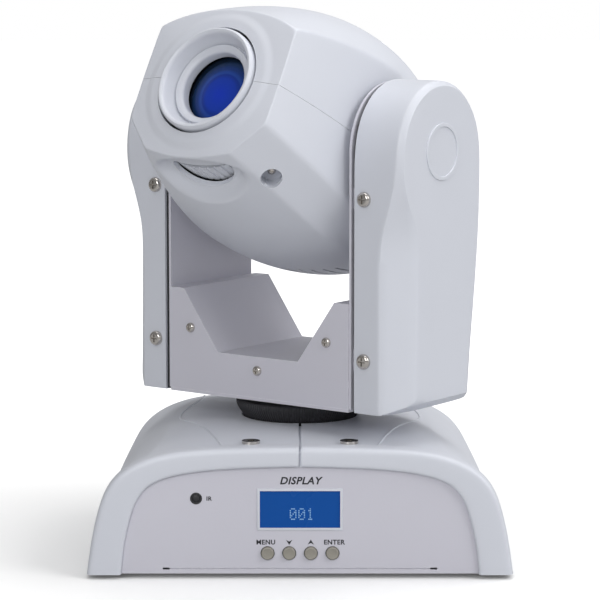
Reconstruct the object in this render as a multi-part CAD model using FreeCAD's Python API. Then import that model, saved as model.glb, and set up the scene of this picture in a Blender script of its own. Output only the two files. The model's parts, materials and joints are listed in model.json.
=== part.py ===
import FreeCAD, Part
import math
import os
from FreeCAD import Vector

# Small moving head light: base, panning yoke, tilting head.
# Millimetres. The origin is on the pan axis, at the bottom of the rubber feet.
# X is to the right, Y to the back and Z up. The front panel faces -Y.

# Rest pose of the two main axes
pan_rest = -37.0
tilt_rest = 29.0

# Base
base_width = 200.0
base_depth = 160.0
base_waist = 4.0
base_rear_taper = 14.0
edge_crown = 62.5
centre_crown = 66.0
foot_height = 2.0
foot_radius = 8.0
floor_lift = 0.5
shell_wall = 2.2
shell_edge_radius = 3.0
centre_seam = 1.0
arch_knee = (5.8, 29.5)
arch_hip = (12.5, 15.2)
arch_shoulder = (34.0, 3.4)
window_foot = 16.3
window_knee = (19.8, 36.5)
window_hip = (25.7, 21.5)
window_shoulder = (44.0, 13.0)
window_top = 9.4
panel_thickness = 1.2
panel_lap = 4.0
floor_thickness = 1.2
bracket_boss = (1.0, 12.0)
bracket_hole_radius = 4.25
bracket_boss_radius = 10.0
cover_screw_x = 23.0
cover_screw_inset = 13.5
cover_screw_radius = 4.3

# Screws, boards and cutters
screw_hole = 1.7
screw_shank = 1.5
cross_half_width = 0.35
cross_reach = 0.55
cross_floor = 0.45
head_round = 0.7
board_thickness = 1.6
post_radius = 2.5
post_height = 5.0
board_from_panel = 9.0
switch_height = 2.2
past = 5.0

# Front panel
display_width = 38.0
display_height = 18.0
display_centre_z = 33.0
window_thickness = 1.6
button_radius = 3.0
button_pitch = 10.1
button_z = 12.2
button_gap = 0.3
button_travel = 0.5
button_proud = 1.5
button_round = 0.5
button_collar = 1.0
ir_x = -48.4
ir_z = 38.2
ir_radius = 2.7
fold_line_z = 4.8
fold_line_length = 125.0
fold_line_half = 0.3
fold_depth_left = 0.7
fold_slot_half = (1.6, 0.5)

# Rear panel
inlet_x = -50.0
dmx_input_x = 29.0
dmx_output_x = 53.5
socket_z = 25.0
inlet_size = (27.0, 20.0)
inlet_depth = 18.0
inlet_rim = 3.0
inlet_wall = 1.4
inlet_land = 2.0
flange_thickness = 1.6
dmx_radius = 9.5
dmx_flange = 22.0
pin_radius = 0.8
socket_depth = 14.0
ring_slot = 1.6

# Pan drive
disc_radius = 31.3
disc_height = 15.0
bridge_top = 58.0
bridge_sheet = 1.5
bridge_half = 31.0
bridge_rear = 56.0
motor_tab = 19.5
hub_radius = 10.0
hub_bore = 7.0
hub_flange = 2.0
hub_flange_radius = 20.0
bearing_width = 7.0
race = 2.45
ball_radius = 1.1
ball_gap = 0.05
outer_race = 1.25
pan_pulley_radius = 24.0
motor_pulley_radius = 6.0
pulley_width = 7.0
pulley_lip = 2.0
lip_thickness = 0.8
belt_thickness = 1.2
belt_gap = 0.3
pan_belt_centres = 50.0
motor_side = 35.0
motor_length = 28.0
motor_shaft = 2.5
shaft_gap = 0.1
motor_post_rows = (-2.0, 12.0)

# Yoke
yoke_bottom = 75.5
tilt_height = 197.7
yoke_depth = 68.0
frame_half = 54.0
sheet = 1.5
notch_floor = 96.9
notch_floor_half = 24.2
notch_top = 126.9
notch_top_half = 45.6
plate = 1.2
plate_rear_inset = 3.0
cover_gap = 1.2
cover_outer = 83.5
cover_wall = 2.5
strip_outer = 71.5
front_chamfer_depth = 14.0
front_chamfer_top = 150.0
rear_chamfer = (9.5, 12.0)
bottom_chamfer = (5.0, 8.0)
cover_screw_offset = 63.0
cover_screw_heights = (100.6, 176.6)
yoke_screw_places = ((-41.2, 107.7), (0.0, 90.2), (41.2, 107.7))
relief_radius = 13.5
relief_height = 0.4
rim_radius = 2.4

# Tilt drive
trunnion_radius = 6.0
tilt_bearing_width = 5.0
tilt_race = 1.6
tilt_ball_radius = 0.9
tilt_pulley_radius = 18.0
tilt_pulley_start = 64.0
tilt_motor_side = 28.0
tilt_motor_length = 20.0
tilt_motor_z = 93.5
side_gap = 0.3
boss_wall = 2.0
screw_tab_half = 5.0
screw_tab_reach = 4.0
shaft_inside = 12.0

# Head, in its own frame: X along the tilt axis, -Y along the light, Z up
head_drop = 5.0
head_wall = 2.5
parting_gap = 0.4
head_stations = (
    (77.0, 33.0, (39.5, 23.5), (40.0, -25.0), (25.0, -40.5), -44.0),
    (58.0, 44.5, (45.0, 29.0), (45.0, -28.5), (31.0, -44.0), -51.0),
    (35.0, 56.0, (49.3, 33.5), (49.5, -32.5), (36.0, -48.0), -57.0),
    (5.0, 64.0, (51.3, 37.0), (51.5, -36.0), (39.0, -51.0), -61.0),
    (-25.0, 64.0, (49.5, 36.0), (49.5, -35.0), (37.0, -48.0), -57.0),
    (-52.0, 54.0, (42.0, 31.0), (42.0, -29.0), (30.5, -40.0), -48.0),
    (-78.0, 30.0, (25.0, 18.0), (25.0, -16.0), (18.0, -23.0), -28.0),
)
bezel_radius = 26.2
bezel_gap = 1.0
bezel_front = 82.0
bezel_back = 69.0
bezel_rim = 2.4
bezel_cone = (23.2, 18.8)
bezel_step = 17.8
bezel_flange_radius = 30.5
lens_radius = 20.0
lens_front = 71.0
lens_edge_front = 63.0
lens_edge = 2.0
barrel_gap = 0.1
cell_radius = 27.2
barrel_wall = 2.5
barrel_back = 42.0
barrel_front = 66.0
focus_radius = 38.5
focus_span = (52.0, 64.0)
focus_knurls = 60
focus_slot = (44.0, 49.0, 68.0)
vent_slots = 7
vent_pitch = 4.6
wheel_radius = 26.0
wheel_pitch = 20.0
wheel_hole = 4.5
wheel_holes = 7
wheel_thickness = 1.2
colour_wheel_front = 30.2
gobo_wheel_front = 26.2
wheel_motor_radius = 10.0
wheel_motor_span = (6.0, 23.0)
head_screw_x = 36.0
head_screw_c = 52.0
head_screw_radius = 3.1
fan_side = 50.0
fan_depth = 10.0
fan_back = -63.0
fan_radius = 23.5
fan_blades = 7
frame_side = 46.5
frame_wall = 2.0
collar_radius = 9.0
collar_width = 1.8

x_axis = Vector(1, 0, 0)
y_axis = Vector(0, 1, 0)
z_axis = Vector(0, 0, 1)
yoke_half = yoke_depth / 2
disc_top = bridge_top + disc_height
bearing_start = bridge_top + 2.0
pulley_top = bridge_top - bridge_sheet - 1.0
cover_start = frame_half + plate + cover_gap
button_places = [(index - 1.5) * button_pitch for index in range(4)]
half_depth = base_depth / 2
panel_front = half_depth - shell_wall


def block(low, high):
    size = Vector(*high) - Vector(*low)
    return Part.makeBox(size.x, size.y, size.z, Vector(*low))


def rod(radius, start, end):
    path = Vector(*end) - Vector(*start)
    return Part.makeCylinder(radius, path.Length, Vector(*start), path)


def tube(outer, inner, start, end):
    return rod(outer, start, end).cut(rod(inner, start, end))


def joined(shapes):
    return shapes[0].multiFuse(shapes[1:]).removeSplitter()


def group(shapes):
    return Part.makeCompound(shapes)


def prism(points, path):
    corners = [Vector(*point) for point in points]
    return Part.Face(Part.makePolygon(corners + corners[:1])).extrude(Vector(*path))


def arc(start, middle, end):
    return Part.Arc(Vector(*start), Vector(*middle), Vector(*end)).toShape()


def line(start, end):
    return Part.makeLine(Vector(*start), Vector(*end))


def mirrored(shape):
    return shape.mirror(Vector(0, 0, 0), x_axis)


def in_yoke(shape):
    copy = shape.copy()
    copy.rotate(Vector(0, 0, 0), z_axis, pan_rest)
    return copy


def in_head(shape):
    copy = shape.copy()
    copy.rotate(Vector(0, 0, 0), x_axis, -tilt_rest)
    copy.translate(Vector(0, 0, tilt_height))
    return in_yoke(copy)


def save(name, shape):
    shape.exportStep("parts/" + name + ".step")


# ---- Base ----

def arch_wire(y, half, crown, inset, foot):
    lean = math.hypot(1, 0.2)
    knee = (half - arch_knee[0] - inset / lean, crown - arch_knee[1] - 0.2 * inset)
    hip = (half - arch_hip[0] - 0.71 * inset, crown - arch_hip[1] - 0.71 * inset)
    shoulder = (half - arch_shoulder[0] - 0.1 * inset, crown - arch_shoulder[1] - inset)
    ends = (half - inset, foot)
    edges = [
        line((-ends[0], y, ends[1]), (ends[0], y, ends[1])),
        line((ends[0], y, ends[1]), (knee[0], y, knee[1])),
        arc((knee[0], y, knee[1]), (hip[0], y, hip[1]), (shoulder[0], y, shoulder[1])),
        arc((shoulder[0], y, shoulder[1]), (0, y, crown - inset), (-shoulder[0], y, shoulder[1])),
        arc((-shoulder[0], y, shoulder[1]), (-hip[0], y, hip[1]), (-knee[0], y, knee[1])),
        line((-knee[0], y, knee[1]), (-ends[0], y, ends[1])),
    ]
    return Part.Wire(edges)


def arch_body(inset, foot):
    half = base_width / 2
    reach = half_depth - inset
    wires = [
        arch_wire(-reach, half, edge_crown, inset, foot),
        arch_wire(0, half - base_waist / 2, centre_crown, inset, foot),
        arch_wire(reach, half - base_rear_taper / 2, edge_crown, inset, foot),
    ]
    return Part.makeLoft(wires, True)


def window_face(y, half, grow, foot):
    knee = (half - window_knee[0] + grow, edge_crown - window_knee[1])
    hip = (half - window_hip[0] + 0.71 * grow, edge_crown - window_hip[1] + 0.71 * grow)
    shoulder = (half - window_shoulder[0], edge_crown - window_shoulder[1] + grow)
    end = half - window_foot + grow
    edges = [
        line((-end, y, foot), (end, y, foot)),
        line((end, y, foot), (knee[0], y, knee[1])),
        arc((knee[0], y, knee[1]), (hip[0], y, hip[1]), (shoulder[0], y, shoulder[1])),
        arc((shoulder[0], y, shoulder[1]), (0, y, edge_crown - window_top + grow),
            (-shoulder[0], y, shoulder[1])),
        arc((-shoulder[0], y, shoulder[1]), (-hip[0], y, hip[1]), (-knee[0], y, knee[1])),
        line((-knee[0], y, knee[1]), (-end, y, foot)),
    ]
    return Part.Face(Part.Wire(edges))


def end_edges(shape):
    found = []
    for edge in shape.Edges:
        box = edge.BoundBox
        at_end = box.YLength < 0.01 and abs(abs(box.YMin) - half_depth) < 0.01
        if at_end and box.ZMax > foot_height + 1:
            found.append(edge)
    return found


def screw_places():
    inset = half_depth - cover_screw_inset
    return [(side * cover_screw_x, end * inset) for side in (-1, 1) for end in (-1, 1)]


def crown_at(x, y):
    crown = centre_crown - (centre_crown - edge_crown) * (y / half_depth) ** 2
    return crown - arch_shoulder[1] * (x / (base_width / 2 - arch_shoulder[0])) ** 2


def base_shell():
    body = arch_body(0, foot_height)
    body = body.makeFillet(shell_edge_radius, end_edges(body))
    half = base_width / 2
    rear_half = half - base_rear_taper / 2
    front_window = window_face(-base_depth, half, 0, 0).extrude(Vector(0, base_depth - 5, 0))
    rear_window = window_face(5, rear_half, 0, 0).extrude(Vector(0, base_depth, 0))
    shell = body.cut(arch_body(shell_wall, foot_height - 5))
    shell = shell.cut(front_window.fuse(rear_window))
    shell = shell.cut(rod(disc_radius + 0.8, (0, 0, 40), (0, 0, 90)))
    for x, y in screw_places():
        seat = crown_at(x, y) - 0.9
        shell = shell.cut(rod(cover_screw_radius + 0.4, (x, y, seat), (x, y, seat + 9)))
        shell = shell.cut(rod(screw_hole, (x, y, 40), (x, y, 80)))
    return shell


def make_base_shells():
    shell = base_shell()
    reach = base_width
    left = shell.common(block((-reach, -reach, -5), (-centre_seam / 2, reach, 100)))
    save("base_shell_left", left)
    save("base_shell_right", mirrored(left))


def make_shell_screws():
    screws = []
    for x, y in screw_places():
        seat = crown_at(x, y) - 0.9
        head = rod(cover_screw_radius, (x, y, seat), (x, y, seat + 1.3))
        socket = rod(1.6, (x, y, seat + 0.5), (x, y, seat + 2))
        shank = rod(1.6, (x, y, seat - 11), (x, y, seat + 0.4))
        screws.append(head.cut(socket).fuse(shank))
    save("shell_screws", group(screws))


def floor_screw_places():
    return [(side * 62.0, end * 40.0) for side in (-1, 1) for end in (-1, 1)]


def make_floor_plate():
    half_x = base_width / 2 - window_foot - 4
    rear_half = half_x - base_rear_taper / 2
    reach = panel_front - panel_thickness
    low = foot_height + floor_lift
    outline = [
        (-half_x, -reach, low), (half_x, -reach, low),
        (rear_half, reach, low), (-rear_half, reach, low),
    ]
    floor = prism(outline, (0, 0, floor_thickness))
    boss = rod(bracket_boss_radius, (0, 0, bracket_boss[0]), (0, 0, bracket_boss[1]))
    floor = floor.fuse(boss).cut(rod(bracket_hole_radius, (0, 0, -5), (0, 0, 30)))
    for x, y in floor_screw_places():
        floor = floor.cut(rod(screw_hole, (x, y, 0), (x, y, 10)))
    save("floor_plate", floor)


def make_feet():
    feet = []
    for side in (-1, 1):
        for end in (-1, 1):
            place = (side * (base_width / 2 - 34), end * (half_depth - 22))
            low = (place[0], place[1], 0)
            high = (place[0], place[1], foot_height + floor_lift)
            feet.append(rod(foot_radius, low, high))
    save("rubber_feet", group(feet))
    screws = []
    for x, y in floor_screw_places():
        head = rod(3.0, (x, y, foot_height - 1.0), (x, y, foot_height + floor_lift))
        screws.append(head.fuse(rod(1.5, (x, y, foot_height), (x, y, foot_height + 6.0))))
    save("floor_screws", group(screws))


def panel_blank(end, half):
    y = end * (panel_front - panel_thickness) if end > 0 else -panel_front
    return window_face(y, half, panel_lap, foot_height + floor_lift).extrude(Vector(0, panel_thickness, 0))


def make_front_panel():
    front = -panel_front
    panel = panel_blank(-1, base_width / 2)
    half_w = display_width / 2
    half_h = display_height / 2
    low = (-half_w, front - past, display_centre_z - half_h)
    high = (half_w, front + past, display_centre_z + half_h)
    panel = panel.cut(block(low, high))
    for x in button_places:
        start = (x, front - past, button_z)
        panel = panel.cut(rod(button_radius + button_gap, start, (x, front + past, button_z)))
    panel = panel.cut(rod(ir_radius, (ir_x, front - past, ir_z), (ir_x, front + past, ir_z)))
    half_l = fold_line_length / 2
    fold_low = (-half_l, front - past, fold_line_z - fold_line_half)
    fold_high = (half_l, front + panel_thickness - fold_depth_left, fold_line_z + fold_line_half)
    panel = panel.cut(block(fold_low, fold_high))
    wide, tall = fold_slot_half
    for side in (-1, 1):
        x = side * half_l
        slot_low = (x - wide, front - past, fold_line_z - tall)
        slot_high = (x + wide, front + past, fold_line_z + tall)
        panel = panel.cut(block(slot_low, slot_high))
    save("front_panel", panel)


def make_rear_panel():
    rear = panel_front
    panel = panel_blank(1, base_width / 2 - base_rear_taper / 2)
    wide, tall = inlet_size[0] / 2, inlet_size[1] / 2
    low = (inlet_x - wide - 1.5, rear - 5, socket_z - tall - 1.5)
    high = (inlet_x + wide + 1.5, rear + 5, socket_z + tall + 1.5)
    panel = panel.cut(block(low, high))
    for x in (dmx_input_x, dmx_output_x):
        panel = panel.cut(rod(dmx_radius + 1.5, (x, rear - 5, socket_z), (x, rear + 5, socket_z)))
    save("rear_panel", panel)


def make_display():
    front = -panel_front
    half_w = display_width / 2
    half_h = display_height / 2
    low_z = display_centre_z - half_h
    high_z = display_centre_z + half_h
    window = block((-half_w, front + 0.2, low_z), (half_w, front + 0.2 + window_thickness, high_z))
    save("display_window", window)
    back = front + 0.2 + window_thickness
    module = block((-half_w - 4, back, low_z - 4), (half_w + 4, back + 5.0, high_z + 4))
    save("display_module", module)


def make_ir_receiver():
    front = -panel_front
    lens = rod(ir_radius, (ir_x, front - 0.3, ir_z), (ir_x, front + 4.5, ir_z))
    body = block((ir_x - 3.5, front + 2.0, ir_z - 4), (ir_x + 3.5, front + 5.5, ir_z + 4))
    save("ir_receiver", lens.fuse(body))


def make_control_board():
    board_y = -panel_front + board_from_panel
    board = block((-56, board_y, 6), (40, board_y + board_thickness, 50))
    pieces = [board]
    for x in button_places:
        pieces.append(block((x - 3, board_y - switch_height, button_z - 3), (x + 3, board_y, button_z + 3)))
    save("control_board", group(pieces))


def make_buttons():
    front = -panel_front
    switch_face = front + board_from_panel - switch_height
    names = ("menu_button", "down_button", "up_button", "enter_button")
    for name, x in zip(names, button_places):
        stem_end = switch_face - button_travel - 0.2
        collar_start = front + panel_thickness + 0.3
        cap = rod(button_radius, (x, front - button_proud, button_z), (x, collar_start, button_z))
        rim = [edge for edge in cap.Edges if edge.BoundBox.YMax < front - button_proud + 0.01]
        cap = cap.makeFillet(button_round, rim)
        collar_end = collar_start + button_collar
        collar = rod(button_radius + button_collar, (x, collar_start, button_z), (x, collar_end, button_z))
        stem = rod(1.6, (x, collar_start, button_z), (x, stem_end, button_z))
        save(name, joined([cap, collar, stem]))


def board_posts(low, columns, rows):
    high = low + post_height
    return [rod(post_radius, (x, y, low), (x, y, high)) for x in columns for y in rows]


def make_boards():
    supply_low = foot_height + floor_lift + floor_thickness
    board_top = supply_low + post_height + board_thickness
    board = block((-78, -50, supply_low + post_height), (-44, 45, board_top))
    parts = [
        block((-74, -44, board_top), (-52, -18, supply_low + 26)),
        block((-74, -8, board_top), (-58, 8, supply_low + 22)),
        rod(6.0, (-54, 28, board_top), (-54, 28, supply_low + 24)),
    ]
    posts = board_posts(supply_low, (-74, -48), (-46, 41))
    save("power_supply", joined([board] + parts + posts))
    main = block((46, -48, supply_low + post_height), (78, 42, board_top))
    chips = [
        block((52, -40, board_top), (66, -26, supply_low + 9)),
        block((54, -10, board_top), (62, 2, supply_low + 8.6)),
        block((50, 24, board_top), (74, 32, supply_low + 14)),
    ]
    posts = board_posts(supply_low, (50, 74), (-44, 38))
    save("main_board", joined([main] + chips + posts))


def make_power_inlet():
    rear = panel_front
    wide, tall = inlet_size[0] / 2, inlet_size[1] / 2
    rim_x = wide + inlet_rim
    rim_z = tall + inlet_rim
    face = rear + flange_thickness
    flange = block((inlet_x - rim_x, rear, socket_z - rim_z), (inlet_x + rim_x, face, socket_z + rim_z))
    body_x = wide + inlet_wall
    body_z = tall + inlet_wall
    back = rear - inlet_depth - inlet_land
    body = block((inlet_x - body_x, back, socket_z - body_z), (inlet_x + body_x, rear, socket_z + body_z))
    well = block((inlet_x - wide + 2, rear + 1.6 - inlet_depth, socket_z - tall + 2),
                 (inlet_x + wide - 2, rear + 5, socket_z + tall - 2))
    shape = flange.fuse(body).cut(well)
    for x, z in ((-7.0, -2.0), (7.0, -2.0), (0.0, 2.5)):
        low = (inlet_x + x - 0.8, rear + 1.6 - inlet_depth - 1, socket_z + z - 2)
        high = (inlet_x + x + 0.8, rear - 6.5, socket_z + z + 2)
        shape = shape.fuse(block(low, high))
    save("power_inlet", shape.removeSplitter())


def socket_body(x):
    rear = panel_front
    half = dmx_flange / 2
    flange = block((x - half, rear, socket_z - half - 2), (x + half, rear + 1.8, socket_z + half + 2))
    return flange.fuse(rod(dmx_radius + 1.4, (x, rear - 18, socket_z), (x, rear, socket_z)))


def pin_places(x):
    radius = 5.0
    return [(x + radius * math.cos(turn), socket_z + radius * math.sin(turn))
            for turn in (math.radians(angle) for angle in (0, 180, 270))]


def make_dmx_sockets():
    rear = panel_front
    male = socket_body(dmx_input_x)
    start = (dmx_input_x, rear - socket_depth, socket_z)
    male = male.cut(rod(dmx_radius, start, (dmx_input_x, rear + past, socket_z)))
    for x, z in pin_places(dmx_input_x):
        male = male.fuse(rod(pin_radius + 0.4, (x, rear - 15, z), (x, rear - 3.5, z)))
    save("dmx_input", male.removeSplitter())
    female = socket_body(dmx_output_x)
    start = (dmx_output_x, rear - socket_depth, socket_z)
    ring = tube(dmx_radius, dmx_radius - ring_slot, start, (dmx_output_x, rear + past, socket_z))
    female = female.cut(ring)
    for x, z in pin_places(dmx_output_x):
        female = female.cut(rod(pin_radius + 0.6, (x, rear - 12, z), (x, rear + 5, z)))
    save("dmx_output", female)


# ---- Pan drive ----

def motor_place():
    return (0, pan_belt_centres)


def make_pan_bridge():
    floor_top = foot_height + floor_lift + floor_thickness
    rear = bridge_rear
    motor_rear = pan_belt_centres + motor_side / 2 - 0.5
    top = block((-bridge_half, -32, bridge_top - bridge_sheet), (bridge_half, rear, bridge_top))
    legs = [
        block((-bridge_half, -32, floor_top), (-bridge_half + bridge_sheet, rear, bridge_top)),
        block((bridge_half - bridge_sheet, -32, floor_top), (bridge_half, rear, bridge_top)),
    ]
    tab = block((-motor_tab, rear, bridge_top - bridge_sheet), (motor_tab, motor_rear, bridge_top))
    bridge = joined([top, tab] + legs)
    save("pan_bridge", bridge.cut(rod(hub_radius + 4, (0, 0, 50), (0, 0, 70))))


def bearing_outer_radius():
    return hub_radius + race + 2 * (ball_radius + ball_gap) + outer_race


def make_pan_disc():
    outer = rod(disc_radius, (0, 0, bridge_top), (0, 0, disc_top))
    rim = [edge for edge in outer.Edges if edge.BoundBox.ZMin > disc_top - 0.01]
    outer = outer.makeFillet(1.2, rim)
    bore = rod(hub_radius + 1.5, (0, 0, bridge_top - 1), (0, 0, disc_top + 1))
    seat = rod(bearing_outer_radius(), (0, 0, bridge_top - 1), (0, 0, bearing_start + bearing_width))
    save("pan_disc", outer.cut(bore).cut(seat))


def ball_ring(pitch, radius, centre, axis, count):
    side = x_axis if axis.dot(x_axis) < 0.5 else y_axis
    other = axis.cross(side)
    balls = []
    for index in range(count):
        turn = 2 * math.pi * index / count
        place = centre + side * (pitch * math.cos(turn)) + other * (pitch * math.sin(turn))
        balls.append(Part.makeSphere(radius, place))
    return balls


def make_pan_bearing():
    low = bearing_start
    high = low + bearing_width
    inner = hub_radius + race
    pitch = inner + ball_gap + ball_radius
    save("pan_bearing_inner", tube(inner, hub_radius, (0, 0, low), (0, 0, high)))
    outer = tube(bearing_outer_radius(), pitch + ball_radius + ball_gap, (0, 0, low), (0, 0, high))
    balls = ball_ring(pitch, ball_radius, Vector(0, 0, (low + high) / 2), z_axis, 14)
    save("pan_bearing_outer", group([outer] + balls))


def pulley(radius, bore, place, low, high):
    x, y = place
    body = rod(radius, (x, y, low), (x, y, high))
    lips = [
        rod(radius + pulley_lip, (x, y, low), (x, y, low + lip_thickness)),
        rod(radius + pulley_lip, (x, y, high - lip_thickness), (x, y, high)),
    ]
    shape = joined([body] + lips)
    return shape.cut(rod(bore, (x, y, low - 1), (x, y, high + 1))) if bore else shape


def belt_outline(big, small, centres, low, high):
    lean = math.asin((big - small) / centres)
    points = []
    for side in (-1, 1):
        points.append((side * big * math.cos(lean), big * math.sin(lean), low))
        points.append((side * small * math.cos(lean), centres + small * math.sin(lean), low))
    ordered = [points[0], points[2], points[3], points[1]]
    web = prism(ordered, (0, 0, high - low))
    ends = [rod(big, (0, 0, low), (0, 0, high)), rod(small, (0, centres, low), (0, centres, high))]
    return joined([web] + ends)


def belt(big, small, centres, low, high):
    inner = belt_outline(big + belt_gap, small + belt_gap, centres, low, high)
    grow = belt_gap + belt_thickness
    outer = belt_outline(big + grow, small + grow, centres, low, high)
    return outer.cut(inner)


def make_pan_motor():
    x, y = motor_place()
    top = pulley_top - pulley_width - 1.5
    half = motor_side / 2
    body = block((x - half, y - half, top - motor_length), (x + half, y + half, top))
    corners = [edge for edge in body.Edges if edge.BoundBox.ZLength > motor_length - 1]
    body = body.makeChamfer(3.0, corners)
    body = body.cut(rod(motor_shaft + shaft_gap, (x, y, top - 12), (x, y, top + 1)))
    posts = []
    for side in (-1, 1):
        for shift in motor_post_rows:
            place = (x + side * (half - 2.4), y + shift)
            posts.append(rod(1.8, (*place, top), (*place, bridge_top - bridge_sheet)))
    save("pan_motor", joined([body] + posts))


def make_pan_pulleys():
    low = pulley_top - pulley_width
    x, y = motor_place()
    save("pan_pulley", in_yoke(pulley(pan_pulley_radius, hub_radius, (0, 0), low, pulley_top)))
    small = pulley(motor_pulley_radius, 0, (x, y), low, pulley_top)
    shaft = rod(motor_shaft, (x, y, low - 12), (x, y, pulley_top + 0.4))
    save("pan_motor_pulley", small.fuse(shaft).removeSplitter())
    rim = lip_thickness + belt_gap
    loop = belt(pan_pulley_radius, motor_pulley_radius, pan_belt_centres, low + rim, pulley_top - rim)
    save("pan_belt", loop)


def make_pan_hub():
    low = pulley_top - pulley_width
    flange = rod(hub_flange_radius, (0, 0, yoke_bottom - hub_flange), (0, 0, yoke_bottom))
    hub = flange.fuse(rod(hub_radius, (0, 0, low), (0, 0, yoke_bottom)))
    save("pan_hub", in_yoke(hub.cut(rod(hub_bore, (0, 0, low - 1), (0, 0, yoke_bottom + 1)))))


# ---- Yoke ----

def trough_profile(inset):
    rise = notch_top - notch_floor
    run = notch_top_half - notch_floor_half
    slant = inset * (math.hypot(rise, run) - run) / rise
    top = notch_top - inset
    floor = notch_floor - inset
    low = yoke_bottom + sheet - inset
    half = frame_half + inset
    right = [(half, low), (half, top), (notch_top_half + slant, top), (notch_floor_half + slant, floor)]
    left = [(-x, z) for x, z in reversed(right)]
    return right + left


def make_crossmember():
    outer = prism([(x, -yoke_half, z) for x, z in trough_profile(0)], (0, yoke_depth, 0))
    inside = [(x, -yoke_half + sheet, z) for x, z in trough_profile(sheet)]
    inner = prism(inside, (0, yoke_depth - 2 * sheet, 0))
    shape = outer.cut(inner)
    for x, z in yoke_screw_places:
        shape = shape.cut(rod(screw_hole, (x, -yoke_half - 1, z), (x, -yoke_half + 3, z)))
    save("yoke_crossmember", in_yoke(shape))


def make_yoke_floor():
    floor = block((-frame_half, -yoke_half, yoke_bottom), (frame_half, yoke_half, yoke_bottom + sheet))
    save("yoke_floor", in_yoke(floor.cut(rod(hub_bore, (0, 0, 70), (0, 0, 80)))))


def paddle_face(x, low, inset, rear_inset):
    front = -yoke_half + inset
    rear = yoke_half - inset - rear_inset
    top = tilt_height
    middle = (front + rear) / 2
    edges = [
        line((x, front, low), (x, rear, low)),
        line((x, rear, low), (x, rear, top)),
        arc((x, rear, top), (x, middle, top + (rear - front) / 2), (x, front, top)),
        line((x, front, top), (x, front, low)),
    ]
    return Part.Face(Part.Wire(edges))


def corner_cutter(stations, outer, side):
    reach = 2.0
    sections = []
    for z, run, depth in stations:
        edge = yoke_half
        a = (outer + reach, edge - depth - reach * depth / run)
        b = (outer - run - reach * run / depth, edge + reach)
        c = (outer + reach, edge + reach)
        sections.append(Part.makePolygon([Vector(x, side * y, z) for x, y in (a, b, c, a)]))
    return Part.makeLoft(sections, True, True)


def front_stations(low, shift):
    run = cover_outer - strip_outer + shift
    depth = front_chamfer_depth + shift
    stations = [(low, run, depth), (front_chamfer_top, run, depth)]
    rise = tilt_height - front_chamfer_top
    for step in range(1, 9):
        share = step / 8
        left = 0.5 + 0.5 * math.cos(math.pi * share)
        stations.append((front_chamfer_top + rise * share, max(run * left, 0.05), max(depth * left, 0.05)))
    return stations


def rear_stations(low, shift):
    return [(low, rear_chamfer[0] + shift, rear_chamfer[1] + shift), (tilt_height, 0.05, 0.05)]


def cover_solid(inset):
    outer = cover_outer - inset
    start = cover_start - 2 * inset
    low = yoke_bottom + inset
    paddle = paddle_face(start, low, inset, 0).extrude(Vector(outer - start, 0, 0))
    face_edges = [edge for edge in paddle.Edges if edge.BoundBox.XMin > outer - 0.01]
    rim = [edge for edge in face_edges if edge.BoundBox.ZMax > low + 1]
    paddle = paddle.makeFillet(rim_radius, rim)
    run, rise = bottom_chamfer
    toe = prism([(outer - run, -60, low), (outer, -60, low + rise), (outer + 5, -60, low + rise + 5),
                 (outer + 5, -60, low - 5), (outer - run, -60, low - 5)], (0, 120, 0))
    front = corner_cutter(front_stations(low - 5, 0), outer, -1)
    rear = corner_cutter(rear_stations(low - 5, 0), outer, 1)
    return paddle.cut(toe).cut(front).cut(rear)


def arm_cover():
    outer = cover_solid(0)
    shape = outer.cut(cover_solid(cover_wall))
    for z in cover_screw_heights:
        start = (cover_screw_offset, -yoke_half - 1, z)
        shape = shape.cut(rod(screw_hole, start, (cover_screw_offset, -20, z)))
    relief = tube(relief_radius, relief_radius - 1.6, (cover_outer, 0, tilt_height),
                  (cover_outer + relief_height, 0, tilt_height))
    return shape.fuse(relief)


def make_arm_covers():
    cover = arm_cover()
    save("arm_cover_right", in_yoke(cover))
    save("arm_cover_left", in_yoke(mirrored(cover)))


def tilt_bearing_radius():
    return trunnion_radius + tilt_race + 2 * (tilt_ball_radius + ball_gap) + outer_race


def bearing_span():
    start = frame_half + plate + side_gap
    return start, start + tilt_bearing_width


def arm_plate():
    low = yoke_bottom + sheet
    face = paddle_face(frame_half, low, cover_wall * 0.2, plate_rear_inset)
    shape = face.extrude(Vector(plate, 0, 0))
    start, end = bearing_span()
    boss = rod(tilt_bearing_radius() + boss_wall, (frame_half, 0, tilt_height), (end, 0, tilt_height))
    shape = shape.fuse(boss)
    for z in cover_screw_heights:
        front = -yoke_half + cover_wall
        tab_low = (frame_half, front, z - screw_tab_half)
        tab_high = (cover_screw_offset + screw_tab_reach, front + plate, z + screw_tab_half)
        shape = shape.fuse(block(tab_low, tab_high))
        shape = shape.cut(rod(screw_shank, (cover_screw_offset, -60, z), (cover_screw_offset, -20, z)))
    bore = rod(tilt_bearing_radius(), (start, 0, tilt_height), (90, 0, tilt_height))
    through = rod(trunnion_radius + 1.0, (0, 0, tilt_height), (90, 0, tilt_height))
    return shape.cut(bore).cut(through)


def make_arm_plates():
    plate_shape = arm_plate()
    hole = rod(motor_shaft + 1.0, (30, 0, tilt_motor_z), (90, 0, tilt_motor_z))
    save("arm_plate_right", in_yoke(plate_shape.cut(hole)))
    save("arm_plate_left", in_yoke(mirrored(plate_shape)))


def screw(place, head_radius, head_height, shank):
    x, y, z = place
    head = rod(head_radius, (x, y, z), (x, y - head_height, z))
    rim = [edge for edge in head.Edges if edge.BoundBox.YMax < y - head_height + 0.01]
    head = head.makeFillet(head_height * head_round, rim)
    top = y - head_height - 1
    floor = y - head_height * cross_floor
    reach = head_radius * cross_reach
    for wide, tall in ((reach, cross_half_width), (cross_half_width, reach)):
        head = head.cut(block((x - wide, top, z - tall), (x + wide, floor, z + tall)))
    return head.fuse(rod(screw_shank, (x, y, z), (x, y + shank, z)))


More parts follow.
